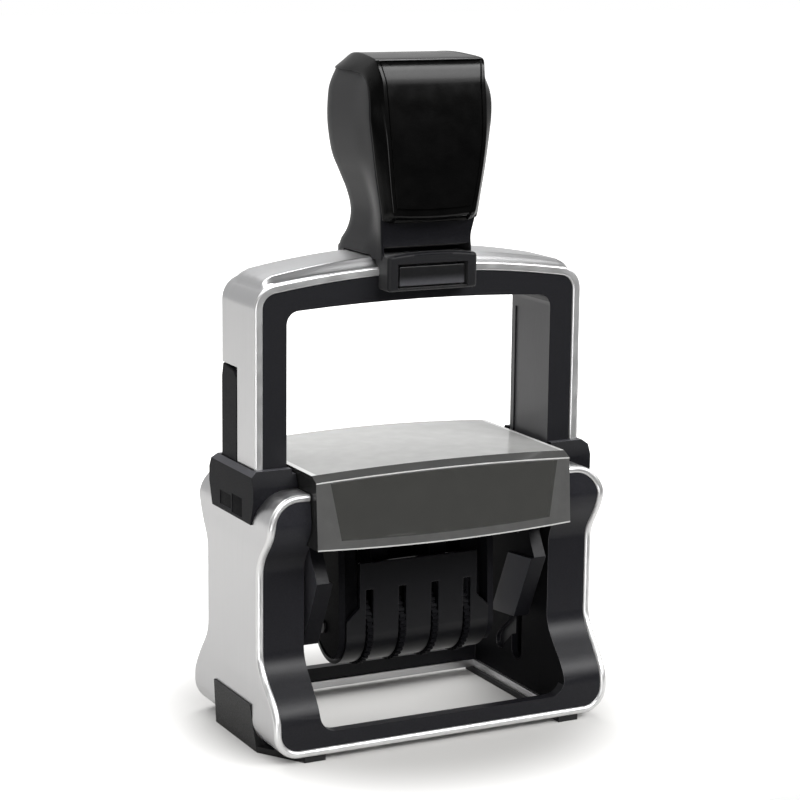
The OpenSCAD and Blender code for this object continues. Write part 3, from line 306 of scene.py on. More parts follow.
BRUSHED = (60, 2600, 60)
satin_metal = make_finish("satin_metal", {"Metallic": 1}, greys(0.575, 0.615, 1.01), BRUSHED,
                          (0.28, 0.38), 0.01)
# Painted highlight: the strips' rounded edges get a lighter, less metallic grey.
painted_rim_highlight = make_finish("painted_rim_highlight", {"Metallic": 0.8}, greys(0.7, 0.76, 1.0), (300,) * 3,
                         (0.3, 0.4), 0.002)
black_plastic = plastic("black_plastic", 0.16, greys(0.004, 0.006, 1.25), 2600, (0.3, 0.38))
mechanism_plastic = plastic("mechanism_plastic", 0.12, greys(0.004, 0.006, 1.25), 1800, (0.34, 0.44))
# Painted light: the bail liner is a lighter grey with more shine than the other black plastic.
liner_plastic = plastic("liner_plastic", 0.35, greys(0.008, 0.011, 1.2), 2600, (0.34, 0.42))
# A duller copy for the collars and guides, also used as painted shade on forward faces of the grip.
collar_and_shade_plastic = plastic("collar_and_shade_plastic", 0.05, greys(0.006, 0.009, 1.2), 2600, (0.4, 0.5))
# Painted shade: the darkest, least shiny copy, for parts deep inside the stamp.
deep_shade_plastic = plastic("deep_shade_plastic", 0.03, greys(0.003, 0.005, 1.2), 1800, (0.5, 0.6))
# Painted light: a much lighter grey for faces the light reaches, the arms' left faces and the collars' tops.
painted_light_plastic = plastic("painted_light_plastic", 0.2, greys(0.045, 0.055, 1.15), 1800, (0.36, 0.46))
lock_plastic = plastic("lock_plastic", 0.3, greys(0.055, 0.065, 1.1), 2600, (0.34, 0.42), (103.6, 106.2, 0.1))
# Painted light: the frame's grey grows 1.6 times lighter between 45 and 49 mm.
frame_with_painted_light = plastic("frame_with_painted_light", 0.16, greys(0.008, 0.011, 1.2), 2600, (0.3, 0.38), (45, 49, 1.6))
# Painted light and highlight: a light grey for the liner's inner side faces and the frame's right bevel.
painted_highlight_plastic = make_finish("painted_highlight_plastic", {"Specular IOR Level": 0.6}, greys(0.06, 0.08, 1.05),
                         (2600, 2600, 200), (0.34, 0.42), 0.006)
cover_plastic = make_finish("cover_plastic", {"Specular IOR Level": 0.25}, greys(0.003, 0.004, 1.25),
                            (1800,) * 3, (0.28, 0.32), 0.002)
gloss_cap = make_finish("gloss_cap", {"Specular IOR Level": 0.15}, greys(0.002, 0.003, 1.0), (300,) * 3,
                        (0.16, 0.2), 0.001)
print(satin_metal.name, "has hairlines,", gloss_cap.name, "is the smoothest plastic")

# %% [markdown]
# ## The hood's finishes
# The hood is one moulding of smoked plastic, frosted round the edge and clear in front of the card. The rest
# of its look is painted light: a pale painted top where the light falls, a dark painted reflection on the
# bevel, painted shade at the ends, and painted highlights along its edges. A little of what lies behind shows
# through, which is what an alpha just below 1 gives.


# %% Mix the hood's finishes
def smoked(name, colours, grain, roughness=(0.1, 0.16), alpha=0.97, shine=0.5):
    """A smoked plastic that lets a little through."""
    settings = {"Alpha": alpha, "Specular IOR Level": shine}
    return make_finish(name, settings, colours, (grain,) * 3, roughness, 0.001)


frosted_hood = smoked("frosted_hood", greys(0.07, 0.08, 0.98), 300)
# Painted light: a pale top where the light falls.
painted_top_light = smoked("painted_top_light", greys(0.42, 0.46, 0.98), 200)
# Painted reflection: the bevel is dark, as if it mirrored the dark room.
painted_bevel_reflection = smoked("painted_bevel_reflection", greys(0.055, 0.065, 0.98), 200, shine=0.2)
# Painted highlight along the lip and the crease.
painted_edge_highlight = smoked("painted_edge_highlight", greys(0.4, 0.45, 0.98), 200)
# A brighter painted highlight along the ends of the top.
lit_edge = smoked("lit_edge", greys(0.75, 0.8, 0.99), 200)
# Painted shade on the end faces.
painted_end_shade = smoked("painted_end_shade", greys(0.015, 0.02, 1.0), 300, (0.12, 0.2), shine=0.1)
clear_hood = smoked("clear_hood", greys(0.04, 0.045, 0.94), 300, (0.06, 0.1), alpha=0.9, shine=0.3)
HOOD_FINISH = (frosted_hood, clear_hood, painted_top_light, painted_bevel_reflection, painted_end_shade, painted_edge_highlight, lit_edge)
print("the hood wears", ", ".join(finish.name for finish in HOOD_FINISH))

# %% [markdown]
# ## Rubber, card, steel and foam
# The feet and the print die are rubber, the grip is a soft moulding with a dusty sheen, and the pins and
# springs are steel. The pad is foam full of ink, so it is nearly black with a deep grain.

# %% Mix rubber, card, steel and foam
TURNED = (2000, 60, 2000)
foot_rubber = make_finish("foot_rubber", {"Specular IOR Level": 0.35}, greys(0.005, 0.008), (3000,) * 3,
                          (0.45, 0.6), 0.015)
soft_grip = make_finish("soft_grip", {"Specular IOR Level": 0.12, "Sheen Weight": 0.12},
                        greys(0.008, 0.011, 1.12), (4000,) * 3, (0.4, 0.48), 0.006)
card_stock = make_finish("card_stock", {"Specular IOR Level": 0.2},
                         [(0.05, 0.043, 0.044), (0.056, 0.048, 0.049)], (900,) * 3, (0.6, 0.75), 0.01)
bright_steel = make_finish("bright_steel", {"Metallic": 1}, greys(0.45, 0.55, 1.0), TURNED,
                           (0.2, 0.32), 0.004)
black_steel = make_finish("black_steel", {"Metallic": 1}, greys(0.03, 0.045, 1.05), TURNED,
                          (0.4, 0.5), 0.004)
print_rubber = make_finish("print_rubber", {"Specular IOR Level": 0.3}, greys(0.006, 0.01), (2000,) * 3,
                           (0.5, 0.65), 0.015)
ink_foam = make_finish("ink_foam", {"Specular IOR Level": 0.2}, [(0.004, 0.005, 0.02), (0.012, 0.014, 0.05)],
                       (2500,) * 3, (0.7, 0.95), 0.12)
print(len(bpy.data.materials), "materials so far")

# %% [markdown]
# ## Who wears what
# The CAD record gives each node a material slot, and each slot has a finish. Some nodes share a slot but lie
# in another light, so a second list gives those a finish of their own, with that light or shade painted in.

# %% Give each node its finish
DIALS = ("day_tens", "day_units", "month", "year")
FINISH = {"satin_metal": satin_metal, "black_plastic": black_plastic, "mechanism_plastic": mechanism_plastic,
          "foot_rubber": foot_rubber, "soft_grip": soft_grip, "gloss_cap": gloss_cap,
          "smoked_window": frosted_hood, "index_card": card_stock, "steel": bright_steel,
          "print_rubber": print_rubber, "ink_foam": ink_foam}
# Copies with painted shade or light for nodes that lie in other light.
OWN_FINISH = {"base_frame": frame_with_painted_light, "left_guide": collar_and_shade_plastic, "right_guide": collar_and_shade_plastic,
              "left_collar": collar_and_shade_plastic, "right_collar": collar_and_shade_plastic, "bail_liner": liner_plastic,
              "lock_bar": lock_plastic, "date_cover": cover_plastic, "left_end_plate": deep_shade_plastic,
              "wheel_shaft": black_steel, "shaft_sleeve": black_steel, "print_bar": black_steel,
              "left_cam_pin": black_steel, "right_cam_pin": black_steel}
OWN_FINISH.update({dial + "_band": deep_shade_plastic for dial in DIALS})
slot_of = {row["node"]: row["material_slot"] for row in frame["record"]["subparts"]}
body_of = {name: body for body, names in frame["record"]["behaviour"]["bodies"].items() for name in names}


def finish_of(node):
    return OWN_FINISH.get(node, FINISH[slot_of[node]])


for node, shown in nodes.items():
    shown.data.materials.clear()
    shown.data.materials.append(finish_of(node))
print(len(FINISH), "finishes on", len(nodes), "nodes")

# %% [markdown]
# ## From a mesh to a finished piece
# Every piece goes through the same last steps. Double points are merged and normals turned outwards,
# modifiers become plain mesh, and the piece takes the place of its CAD node: it rides on the same body, and
# the node is hidden. Shading is smooth except across edges that turn sharply, and large faces decide it, so
# that flat stays flat.


# %% Prepare the last steps
MERGE = 0.002


def finish_mesh(made, sharp=32):
    """Merges doubles, turns normals outward and marks the edges that stay sharp."""
    work = bmesh.new()
    work.from_mesh(made.data)
    bmesh.ops.remove_doubles(work, verts=work.verts, dist=MERGE * MM)
    bmesh.ops.recalc_face_normals(work, faces=work.faces)
    for face in work.faces:
        face.smooth = True
    for edge in work.edges:
        edge.smooth = len(edge.link_faces) == 2 and edge.calc_face_angle(0) < math.radians(sharp)
    work.to_mesh(made.data)
    work.free()


def bake(made):
    """Turns the modifiers into plain mesh."""
    evaluated = made.evaluated_get(bpy.context.evaluated_depsgraph_get())
    made.data = bpy.data.meshes.new_from_object(evaluated)
    made.modifiers.clear()


def round_edges(made, radius, segments=3, turn=35):
    """Rounds the edges that turn by more than so many degrees."""
    bevel = made.modifiers.new("bevel", "BEVEL")
    bevel.width = radius * MM
    bevel.segments = segments
    bevel.limit_method = "ANGLE"
    bevel.angle_limit = math.radians(turn)
    bake(made)


def weigh_normals(made):
    """Lets large faces decide the shading, so flat faces look flat right up to their rounded edges."""
    weigh = made.modifiers.new("weigh", "WEIGHTED_NORMAL")
    weigh.mode, weigh.weight, weigh.keep_sharp = "FACE_AREA", 50, True
    bake(made)


def dress(made, node, own_finish=False, tints=()):
    """Puts a finished piece in the place of a CAD node: its body and, unless it has its own, the finish of
    the node's slot. Each tint is another finish and a test of a face's middle and normal."""
    finish_mesh(made)
    weigh_normals(made)
    if not own_finish:
        made.data.materials.clear()
        made.data.materials.append(finish_of(node))
    for finish, test in tints:
        made.data.materials.append(finish)
        for face in made.data.polygons:
            if test(face.center / MM, face.normal):
                face.material_index = len(made.data.materials) - 1
    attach(made, body_of[node])
    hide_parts(node)
    print(made.name, len(made.data.polygons), "faces")
    return made


print("points closer than", MERGE, "mm are merged")

# %% [markdown]
# ## CAD pieces with softened edges
# Sharp CAD edges look false, because every real edge is slightly round and catches a line of light. A copy of
# the CAD mesh is merged, its flat regions become single faces, and a Bevel modifier rounds what is left. The
# slots of the solid date cover are roomy, so here their sides move along x until they are as narrow as on the
# real stamp.

# %% Soften CAD pieces
FLAT_TURN, WHEEL_STEP = 0.6, 8.4
WHEEL_X = {dial: (k - 1.5) * WHEEL_STEP for k, dial in enumerate(DIALS)}
SOLID_SLOT, SLOT = 2.8, 1.8
INNER_WALL, RIGHT_BEVEL, ARM_INSIDE, ARM_OUTSIDE, LEG_INSIDE = 32, 20, 25.8, 29, 36
STRAIGHT, MOSTLY, SLANTED = 0.9, 0.5, 0.3


def draw_slots_together(work):
    """Moves the sides of the date cover's slots towards the middle of each wheel."""
    for vert in work.verts:
        for x in WHEEL_X.values():
            offset = vert.co.x / MM - x
            if abs(offset) < SOLID_SLOT / 2 + 10 * MERGE:
                vert.co.x = (x + offset * SLOT / SOLID_SLOT) * MM


def softened(node, radius):
    """A copy of a CAD node with its sharper edges rounded."""
    made = bpy.data.objects.new(node + "_soft", nodes[node].data.copy())
    bpy.context.collection.objects.link(made)
    work = bmesh.new()
    work.from_mesh(made.data)
    bmesh.ops.remove_doubles(work, verts=work.verts, dist=MERGE * MM)
    if node == "date_cover":
        draw_slots_together(work)
    bmesh.ops.dissolve_limit(work, angle_limit=math.radians(FLAT_TURN), verts=work.verts, edges=work.edges)
    work.to_mesh(made.data)
    work.free()
    round_edges(made, radius, 2)
    return dress(made, node, tints=TINTS.get(node, ()))


def facing_left(middle, normal):
    return normal.x < -STRAIGHT


def facing_up(middle, normal):
    return normal.z > MOSTLY


def inside(wall):
    """A test for upright faces between the walls at minus and plus this x."""
    return lambda middle, normal: abs(normal.x) > STRAIGHT and abs(middle.x) < wall


def right_bevel(middle, normal):
    return max(normal.x, normal.y) < -SLANTED and middle.x > RIGHT_BEVEL


def inner_arm(middle, normal):
    return facing_left(middle, normal) and ARM_INSIDE < middle.x < ARM_OUTSIDE


# Tints paint light and shade: painted shade on inner walls and the arms' inner faces, painted light on
# left-facing and upward faces, and a painted highlight on the frame's right bevel and the liner's inner
# sides.
TINTS = {"base_frame": [(deep_shade_plastic, inside(INNER_WALL)), (painted_highlight_plastic, right_bevel)],
         "carrier_frame": [(painted_light_plastic, facing_left), (deep_shade_plastic, inner_arm)],
         "bail_liner": [(painted_highlight_plastic, inside(LEG_INSIDE))],
         "left_collar": [(painted_light_plastic, facing_up)], "right_collar": [(painted_light_plastic, facing_up)]}
SOFT_EDGES = {"base_frame": 0.5, "left_foot": 0.4, "right_foot": 0.4, "left_collar": 0.4,
              "right_collar": 0.4, "bail_liner": 0.35, "left_guide": 0.3, "right_guide": 0.3,
              "lock_bar": 0.3, "carrier_frame": 0.4, "date_cover": 0.25, "left_end_plate": 0.25,
              "right_end_plate": 0.25, "text_plate": 0.2, "text_die": 0.1, "ink_tray": 0.25,
              "pad_bridge": 0.2}
for node, radius in SOFT_EDGES.items():
    softened(node, radius)

# %% [markdown]
# ## Curves
# The larger shapes are drawn from a few kinds of curve: even steps, arcs, a smooth step from 0 to 1, and a
# smooth curve through a short table of values, whose slope at each value comes from its two neighbours.


# %% Prepare the curves
def along(table, t):
    """The value at t on a smooth curve through pairs of (t, value)."""
    last = len(table) - 1
    k = max(0, min(last - 1, sum(t > row[0] for row in table) - 1))

    def slope(i):
        (t0, v0), (t1, v1) = table[max(i - 1, 0)], table[min(i + 1, last)]
        return (v1 - v0) / (t1 - t0)
    (t0, v0), (t1, v1) = table[k], table[k + 1]
    span = t1 - t0
    s = min(max((t - t0) / span, 0), 1)
    return ((1 + 2 * s) * (1 - s) ** 2 * v0 + s * (1 - s) ** 2 * span * slope(k)
            + s * s * (3 - 2 * s) * v1 + s * s * (s - 1) * span * slope(k + 1))


def eased(t):
    """A smooth step from 0 to 1."""
    t = min(max(t, 0), 1)
    return t * t * (3 - 2 * t)


def steps(start, end, count):
    """Evenly spaced values, with both ends."""
    return [start + (end - start) * k / count for k in range(count + 1)]


def arc(centre, radius, start, end, count):
    """Points on an arc, with angles in degrees."""
    return [(centre[0] + radius * math.cos(math.radians(a)), centre[1] + radius * math.sin(math.radians(a)))
            for a in steps(start, end, count)]


print("half way, eased gives", eased(0.5), "and a quarter of the way", round(eased(0.25), 3))

# %% [markdown]
# ## Pieces from points
# A mesh is a list of points and a list of faces that name them. A loft joins equal rings of points and closes
# both ends, and most rounded pieces here are lofts. Plain blocks are used to cut slots and windows out of
# them.


# %% Prepare lofts, blocks and cuts
def plain(name, points, faces):
    """An object made of points in millimetres and faces."""
    mesh = bpy.data.meshes.new(name)
    mesh.from_pydata([Vector(p) * MM for p in points], [], faces)
    made = bpy.data.objects.new(name, mesh)
    bpy.context.collection.objects.link(made)
    return made


def loft(name, rings):
    """Joins equal closed rings of points in millimetres, and closes both ends."""
    count = len(rings[0])
    faces = [tuple(range(count)), tuple(range((len(rings) - 1) * count, len(rings) * count))]
    for low in range(0, (len(rings) - 1) * count, count):
        for k in range(count):
            after = (k + 1) % count
            faces.append((low + k, low + after, low + after + count, low + k + count))
    made = plain(name, [p for ring in rings for p in ring], faces)
    finish_mesh(made)
    return made


def block(name, low, high):
    """A box between two corners."""
    corners = [(x, y, z) for x in (low[0], high[0]) for y in (low[1], high[1]) for z in (low[2], high[2])]
    faces = [(0, 1, 3, 2), (4, 6, 7, 5), (0, 4, 5, 1), (2, 3, 7, 6), (0, 2, 6, 4), (1, 5, 7, 3)]
    made = plain(name, corners, faces)
    finish_mesh(made)
    return made


def pair(name, low, high):
    """The block on the right and its mirror image on the left, the left one first."""
    left = block("left_" + name, (-high[0], low[1], low[2]), (-low[0], high[1], high[2]))
    return left, block("right_" + name, low, high)


SOLVER = "EXACT"


def combine(made, *others, operation="DIFFERENCE"):
    """Cuts other pieces out of a piece, or joins them to it, and removes them."""
    for other in others:
        step = made.modifiers.new("combine", "BOOLEAN")
        step.operation = operation
        step.solver = SOLVER
        step.object = other
        bake(made)
        bpy.data.objects.remove(other)
    return made


print("cuts use the", SOLVER, "solver")

# %% [markdown]
# ## A bent metal strip
# The base and the handle both have a strip of bright metal, bent along a path, with its edges pressed round.
# The way to make it is to draw one cross section of the strip at every step of its path and to join the
# sections. The round edges get a lighter grey than the brushed flat, a painted highlight along them.


# %% Prepare the strip
def normals(path):
    """The directions to the left of an open path of (x, z) points."""
    found = []
    for k in range(len(path)):
        (x0, z0), (x1, z1) = path[max(k - 1, 0)], path[min(k + 1, len(path) - 1)]
        size = math.hypot(x1 - x0, z1 - z0)
        found.append(((z0 - z1) / size, (x1 - x0) / size))
    return found


NOSE = 9


def strip(name, path, half_width, profile, skin, corner):
    """A metal strip along a path of (x, z) points. The profile gives the (y, height) points of its outside
    for a half width and a station; its edges are round and its inside is flat."""
    rings = []
    for station, ((x, z), (nx, nz)) in enumerate(zip(path, normals(path))):
        half = half_width(z)
        section = arc((half - corner, corner - skin), corner, -90, 0, NOSE // 2)
        section += arc((half - corner, -corner), corner, 0, 90, NOSE // 2)
        section += profile(half - corner, station)
        section += [(-y, h) for y, h in reversed(section[:NOSE + 1])]
        rings.append([(x + nx * h, y, z + nz * h) for y, h in section])
    made = loft(name, rings)
    # The faces round each edge get the painted highlight.
    for finish in (satin_metal, painted_rim_highlight):
        made.data.materials.append(finish)
    count = len(rings[0])
    for face in made.data.polygons:
        spots = sorted(k % count for k in face.vertices)
        if len(spots) == 4 and (spots[-1] <= NOSE or spots[0] >= count - NOSE - 1):
            face.material_index = 1
    return made


print("a strip has", NOSE, "steps round each edge")

# %% [markdown]
# ## The base band
# The strip round the base is wide at the feet, narrow at the waist and wide again at the shoulders, so each
# section asks for its own width. Its sides also swell a little at mid height. The stamping window and the
# slots for the handle's legs are cut out at the end.

# %% Loft the base band
FOOT_HALF, WAIST_HALF, BULGE_HALF, SHOULDER_IN = 23.45, 14.4, 20.25, 1.2
FLARE_Z, WAIST_LOW, WAIST_TOP, BULGE_Z = 8.4, 24, 41.5, 54
BAND_X, BAND_LOW, BAND_TOP, BAND_END, SHOULDER_R, FOOT_R = 42.65, 1.42, 60.1, 32.4, 7.5, 6
SWELL, SWELL_LOW, SWELL_TOP, SWELL_RUN = 0.35, 12, 52, 6


def swing(z, low, high):
    """A rise from 0 to 1 like half a wave."""
    return (1 - math.cos(math.pi * max(z - low, 0) / (high - low))) / 2


def base_depth(z):
    """Half the depth of the base at this height."""
    if z < WAIST_LOW:
        return FOOT_HALF + (WAIST_HALF - FOOT_HALF) * swing(z, FLARE_Z, WAIST_LOW)
    if z < BULGE_Z:
        return WAIST_HALF + (BULGE_HALF - WAIST_HALF) * swing(z, WAIST_TOP, BULGE_Z)
    return BULGE_HALF - SHOULDER_IN * (z - BULGE_Z) / SHOULDER_R


half_path = [(BAND_END, BAND_TOP)] + arc((BAND_X - SHOULDER_R, BAND_TOP - SHOULDER_R), SHOULDER_R, 90, 0, 12)
half_path += [(BAND_X + SWELL * eased((SWELL_TOP - z) / SWELL_RUN) * eased((z - SWELL_LOW) / SWELL_RUN), z)
              for z in steps(BAND_TOP - SHOULDER_R, BAND_LOW + FOOT_R, 40)[1:]]
half_path += arc((BAND_X - FOOT_R, BAND_LOW + FOOT_R), FOOT_R, 0, -90, 10)[1:]
path = half_path + [(-x, z) for x, z in reversed(half_path)]
base_band = strip("base_band_skin", path, base_depth, lambda half, station: [], skin=1.75, corner=0.8)
stamping_window = block("stamping_window", (-30.6, -19.9, 0), (30.6, 19.9, 6))
leg_slots = pair("leg_slot", (32, -9.6, 6.5), (41.65, 9.6, 62))
dress(combine(base_band, stamping_window, *leg_slots), "base_band", own_finish=True)

# %% [markdown]
# ## Behind the latches
# Each collar has two small pockets where its latches click in. On the real stamp they are dark inside, so a
# thin plate of the darkest plastic, which paints the shade in the pocket, goes into each collar.


# %% Back the latch pockets
def add_backing(made, radius, body):
    """Finishes a dark piece that has no CAD node of its own."""
    round_edges(made, radius, 2)
    finish_mesh(made)
    made.data.materials.append(deep_shade_plastic)
    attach(made, body)
    print(made.name, len(made.data.polygons), "faces")


for backing in pair("pocket_back", (42.7, -10.3, 52.8), (42.97, 10.3, 60.5)):
    add_backing(backing, 0.08, "base")

# %% [markdown]
# ## The bail band
# The handle's bail is the same kind of strip, bent into a tall arch. A low ridge is pressed into its top,
# which makes it stiff. The ridge is a change of the cross section: its crest is lifted from the flat of the
# strip, and a narrow slope leads down to the rim.

# %% Loft the bail band
LEG_X, CORNER, CORNER_R, BAIL_HALF = 41.25, (35.85, 99.83), 5.4, 9.35
LEG_STEPS, CORNER_END, ARCH_X, ARCH_TOP, ARCH_FLAT = (40, 60, 80, 90), 82, 35.8, 108, 474
RIDGE_TOP, RIDGE_FLAT, RIDGE_X, RIDGE_LOW, RIDGE_END, RIDGE_RUN = 110.2, 380, 36, 104.2, 1.55, 1.2
# Each step of the slope beside the ridge: y, and the share of the ridge's height there.
SLOPE, CROWN_Y, CROWN = ((8.25, 0.0), (7.75, 0.25), (6.85, 0.9), (6.4, 1.0)), 2, 0.02


def arch(x):
    """The height of the bail's top at x."""
    return ARCH_TOP - x * x / ARCH_FLAT


def crest(x, z):
    """How far the ridge stands above the strip."""
    if z < RIDGE_LOW:
        return 0.0
    if abs(x) <= RIDGE_X:
        return RIDGE_TOP - x * x / RIDGE_FLAT - arch(x)
    return RIDGE_END * (z - RIDGE_LOW) / RIDGE_RUN


half_path = [(LEG_X, z) for z in LEG_STEPS]
half_path += arc(CORNER, CORNER_R, 0, CORNER_END, 14)
half_path += [(x, arch(x)) for x in steps(ARCH_X, 0, 24)]
path = [(-x, z) for x, z in half_path] + list(reversed(half_path[:-1]))
lift = [crest(x, z) for x, z in path]


def ridge_profile(half, station):
    """The outside of the bail's section, from one edge over the ridge to the other."""
    up = lift[station]
    rise = [(y, share * up) for y, share in SLOPE]
    return rise + [(CROWN_Y, up + CROWN), (-CROWN_Y, up + CROWN)] + [(-y, h) for y, h in reversed(rise)]


bail_band = strip("bail_band_skin", path, lambda z: BAIL_HALF, ridge_profile, skin=2.0, corner=0.5)
guide_holes = pair("guide_hole", (40, 0.4, 30), (42, 9.5, 85.7))
dress(combine(bail_band, *guide_holes), "bail_band", own_finish=True)

# %% [markdown]
# ## The hood
# The hood is one clear moulding over the ink pad. It is frosted round the edge, has painted light on top, and
# is clear in front of the card. It is drawn as an open surface, row by row from the lower edge of the front
# over the top to the rear, and its columns spread towards the top to follow the slanted ends of the card.

# %% Shape the hood
HOOD_X, HOOD_LOW, HOOD_EDGE, HOOD_TOP, END_STRIP = 32.05, 47.9, 64.0, 65.2, 1.2
LOW_Y, MID_Y, TOP_Y = 22.5, 21.4, 19.0
BOW, SINK, DIP, DIP_X = 0.9, 1.0, 0.7, 31.15
CARD_LOW_X, CARD_TOP_X = 26.35, 28.65


def bow(x):
    """How far the front stands out towards its middle."""
    return BOW * (1 - (x / HOOD_X) ** 2)


def sink(x):
    """The change of the top's height at x: it falls off towards its ends."""
    return -SINK * (x / HOOD_X) ** 2


def front(x, z):
    """The y of the front at x and z."""
    return -(LOW_Y + (MID_Y - LOW_Y) * (z - HOOD_LOW) / (HOOD_EDGE - HOOD_LOW) + bow(x))


def columns(inner):
    """The x of each column: a narrow strip at both ends, and even steps across the card."""
    across = [inner * u for u in steps(-1, 1, 20)]
    return [-HOOD_X, END_STRIP - HOOD_X] + across + [HOOD_X - END_STRIP, HOOD_X]


LOWER_ROWS = {"low": 0, "lip": 0.3, "card_low": 2.1}
UPPER_ROWS = {"card_top": 0.55, "crease": 0.3, "edge": 0}


def hood_row(kind):
    """One row of points across the hood."""
    row = []
    for x in columns(CARD_LOW_X if kind in LOWER_ROWS else CARD_TOP_X):
        dip = -DIP * max(0, 1 - (x / DIP_X) ** 2)
        if kind in LOWER_ROWS:
            row.append((x, front(x, HOOD_LOW + LOWER_ROWS[kind]), HOOD_LOW + LOWER_ROWS[kind] + dip))
        elif kind in UPPER_ROWS:
            row.append((x, front(x, HOOD_EDGE - UPPER_ROWS[kind]), HOOD_EDGE - UPPER_ROWS[kind] + sink(x)))
        else:
            row.append((x, -TOP_Y - bow(x), HOOD_TOP + sink(x)))
    return row


rows = [hood_row(kind) for kind in (*LOWER_ROWS, *UPPER_ROWS, "top")]
rows += [[(x, -y, z) for x, y, z in row] for row in reversed(rows)]
width = len(rows[0])
faces = [(r * width + k, r * width + k + 1, (r + 1) * width + k + 1, (r + 1) * width + k)
         for r in range(len(rows) - 1) for k in range(width - 1)]
left_end, right_end = (tuple(r * width + k for r in range(len(rows))) for k in (0, width - 1))
hood = plain("hood_shell", [p for row in rows for p in row], faces + [left_end, right_end[::-1]])
print("hood:", len(rows), "rows of", width, "points")

# %% [markdown]
# ## Paint on the hood
# Each row of faces can have its own finish, because a mesh may carry several materials and each face names
# one of them by its number. The front and the rear are painted alike, except for the clear field before the
# card.

# %% Paint the hood
LIP_ROW, CARD_ROW, CREASE_ROW, BEVEL_ROW, TOP_ROW = 0, 2, 4, 5, 6
LAST_ROW = len(rows) - 2


def paint(row, strips, finish):
    """Gives some faces of a row one of the hood's finishes."""
    for k in strips:
        hood.data.polygons[row * (width - 1) + k].material_index = HOOD_FINISH.index(finish)


for finish in HOOD_FINISH:
    hood.data.materials.append(finish)
paint(CARD_ROW, range(2, width - 3), clear_hood)
# Painted highlights on the lip and crease rows, a painted dark reflection on the bevel rows and painted light
# on the top rows, front and rear alike.
for row, finish in ((LIP_ROW, painted_edge_highlight), (CREASE_ROW, painted_edge_highlight), (BEVEL_ROW, painted_bevel_reflection),
                    (TOP_ROW, painted_top_light)):
    for level in (row, LAST_ROW - row):
        paint(level, range(width - 1), finish)
# A brighter painted highlight at both ends of the front top row.
paint(TOP_ROW, (0, width - 2), lit_edge)
# Painted shade on the two end faces.
paint(LAST_ROW + 1, (0, 1), painted_end_shade)
print("hood painted with", len(HOOD_FINISH), "finishes")

# %% [markdown]
# ## The wall of the hood
# So far the hood has no thickness. Its normals are turned outwards first, Bevel rounds the creases, and
# Solidify adds the wall on the inside. Then the slot for the ink cartridge at the rear and a notch over each
# arm are cut.

# %% Give the hood its wall
HOOD_WALL, CREASE_R, CREASE_TURN = 1.3, 0.12, 14
work = bmesh.new()
work.from_mesh(hood.data)
bmesh.ops.recalc_face_normals(work, faces=work.faces)
work.faces.ensure_lookup_table()
if max(work.faces, key=lambda face: face.calc_center_median().z).normal.z < 0:
    bmesh.ops.reverse_faces(work, faces=work.faces)
work.to_mesh(hood.data)
work.free()
round_edges(hood, CREASE_R, 2, CREASE_TURN)
wall = hood.modifiers.new("wall", "SOLIDIFY")
wall.thickness, wall.offset = HOOD_WALL * MM, -1
bake(hood)
cartridge_slot = block("cartridge_slot", (-30.4, 2, 55.45), (30.4, 30, 60.15))
arm_notches = pair("arm_notch", (30.3, -10.9, 40), (33.7, 10.9, 49.1))
dress(combine(hood, cartridge_slot, *arm_notches), "hood", own_finish=True)

# %% [markdown]
# ## The soft grip
# The grip is a soft rubbery moulding with a narrow neck and a broad head, and it ends in a saddle block that
# holds the bail. The head is a stack of level sections. Each section has a flat front, where the cap sits,
# sides that flare towards that front and a rounded back. Tables give the half width and the depth at each
# height.

# %% Shape the soft grip
SOFT_WIDTH = [(109.4, 12.4), (112, 11.9), (113.2, 11.3), (115.5, 10.6), (117.8, 10.3), (119.6, 10.28),
              (121.2, 10.5), (123.5, 11.05), (125.7, 11.8), (128, 12.6), (130.2, 13.45), (132.5, 14.1),
              (137, 14.8), (140.4, 15.0), (143.7, 14.9), (146, 14.7), (148.2, 14.2), (150.5, 13.4)]
RIM_WIDTH = [(109.4, 11.4), (114, 11.35), (117.6, 11.8), (119.5, 12.0), (122.9, 12.5), (127.4, 13.3),
             (134, 14.2), (140.5, 15.0), (144, 15.05), (147, 14.75), (149, 14.2), (150.5, 13.5)]
SOFT_BACK = [(109.4, 13.6), (112, 13.0), (114.5, 12.0), (117.8, 11.5), (123.5, 12.4), (128, 13.5),
             (132, 14.1), (146, 14.2), (150.5, 13.2)]
SOFT_FRONT = [(109.4, 11.2), (112, 11.0), (114, 10.8), (117.6, 11.5), (120, 11.95), (141, 11.95),
              (144, 11.85), (146.3, 11.05), (148.2, 9.65), (149.2, 7.95), (149.8, 6.15), (150.1, 4.45),
              (150.3, 2.8), (150.5, 0.5)]
GRIP_LOW, GRIP_TOP = SOFT_WIDTH[0][0], SOFT_WIDTH[-1][0]
BACK_ROUND, BACK_CROWN, RIM_ROUND, WING_Y, WING_RUN = 5.5, 0.25, 0.7, -3, 8.0
THROAT, THROAT_TOP, THROAT_RUN = 1.0, 118.5, 3


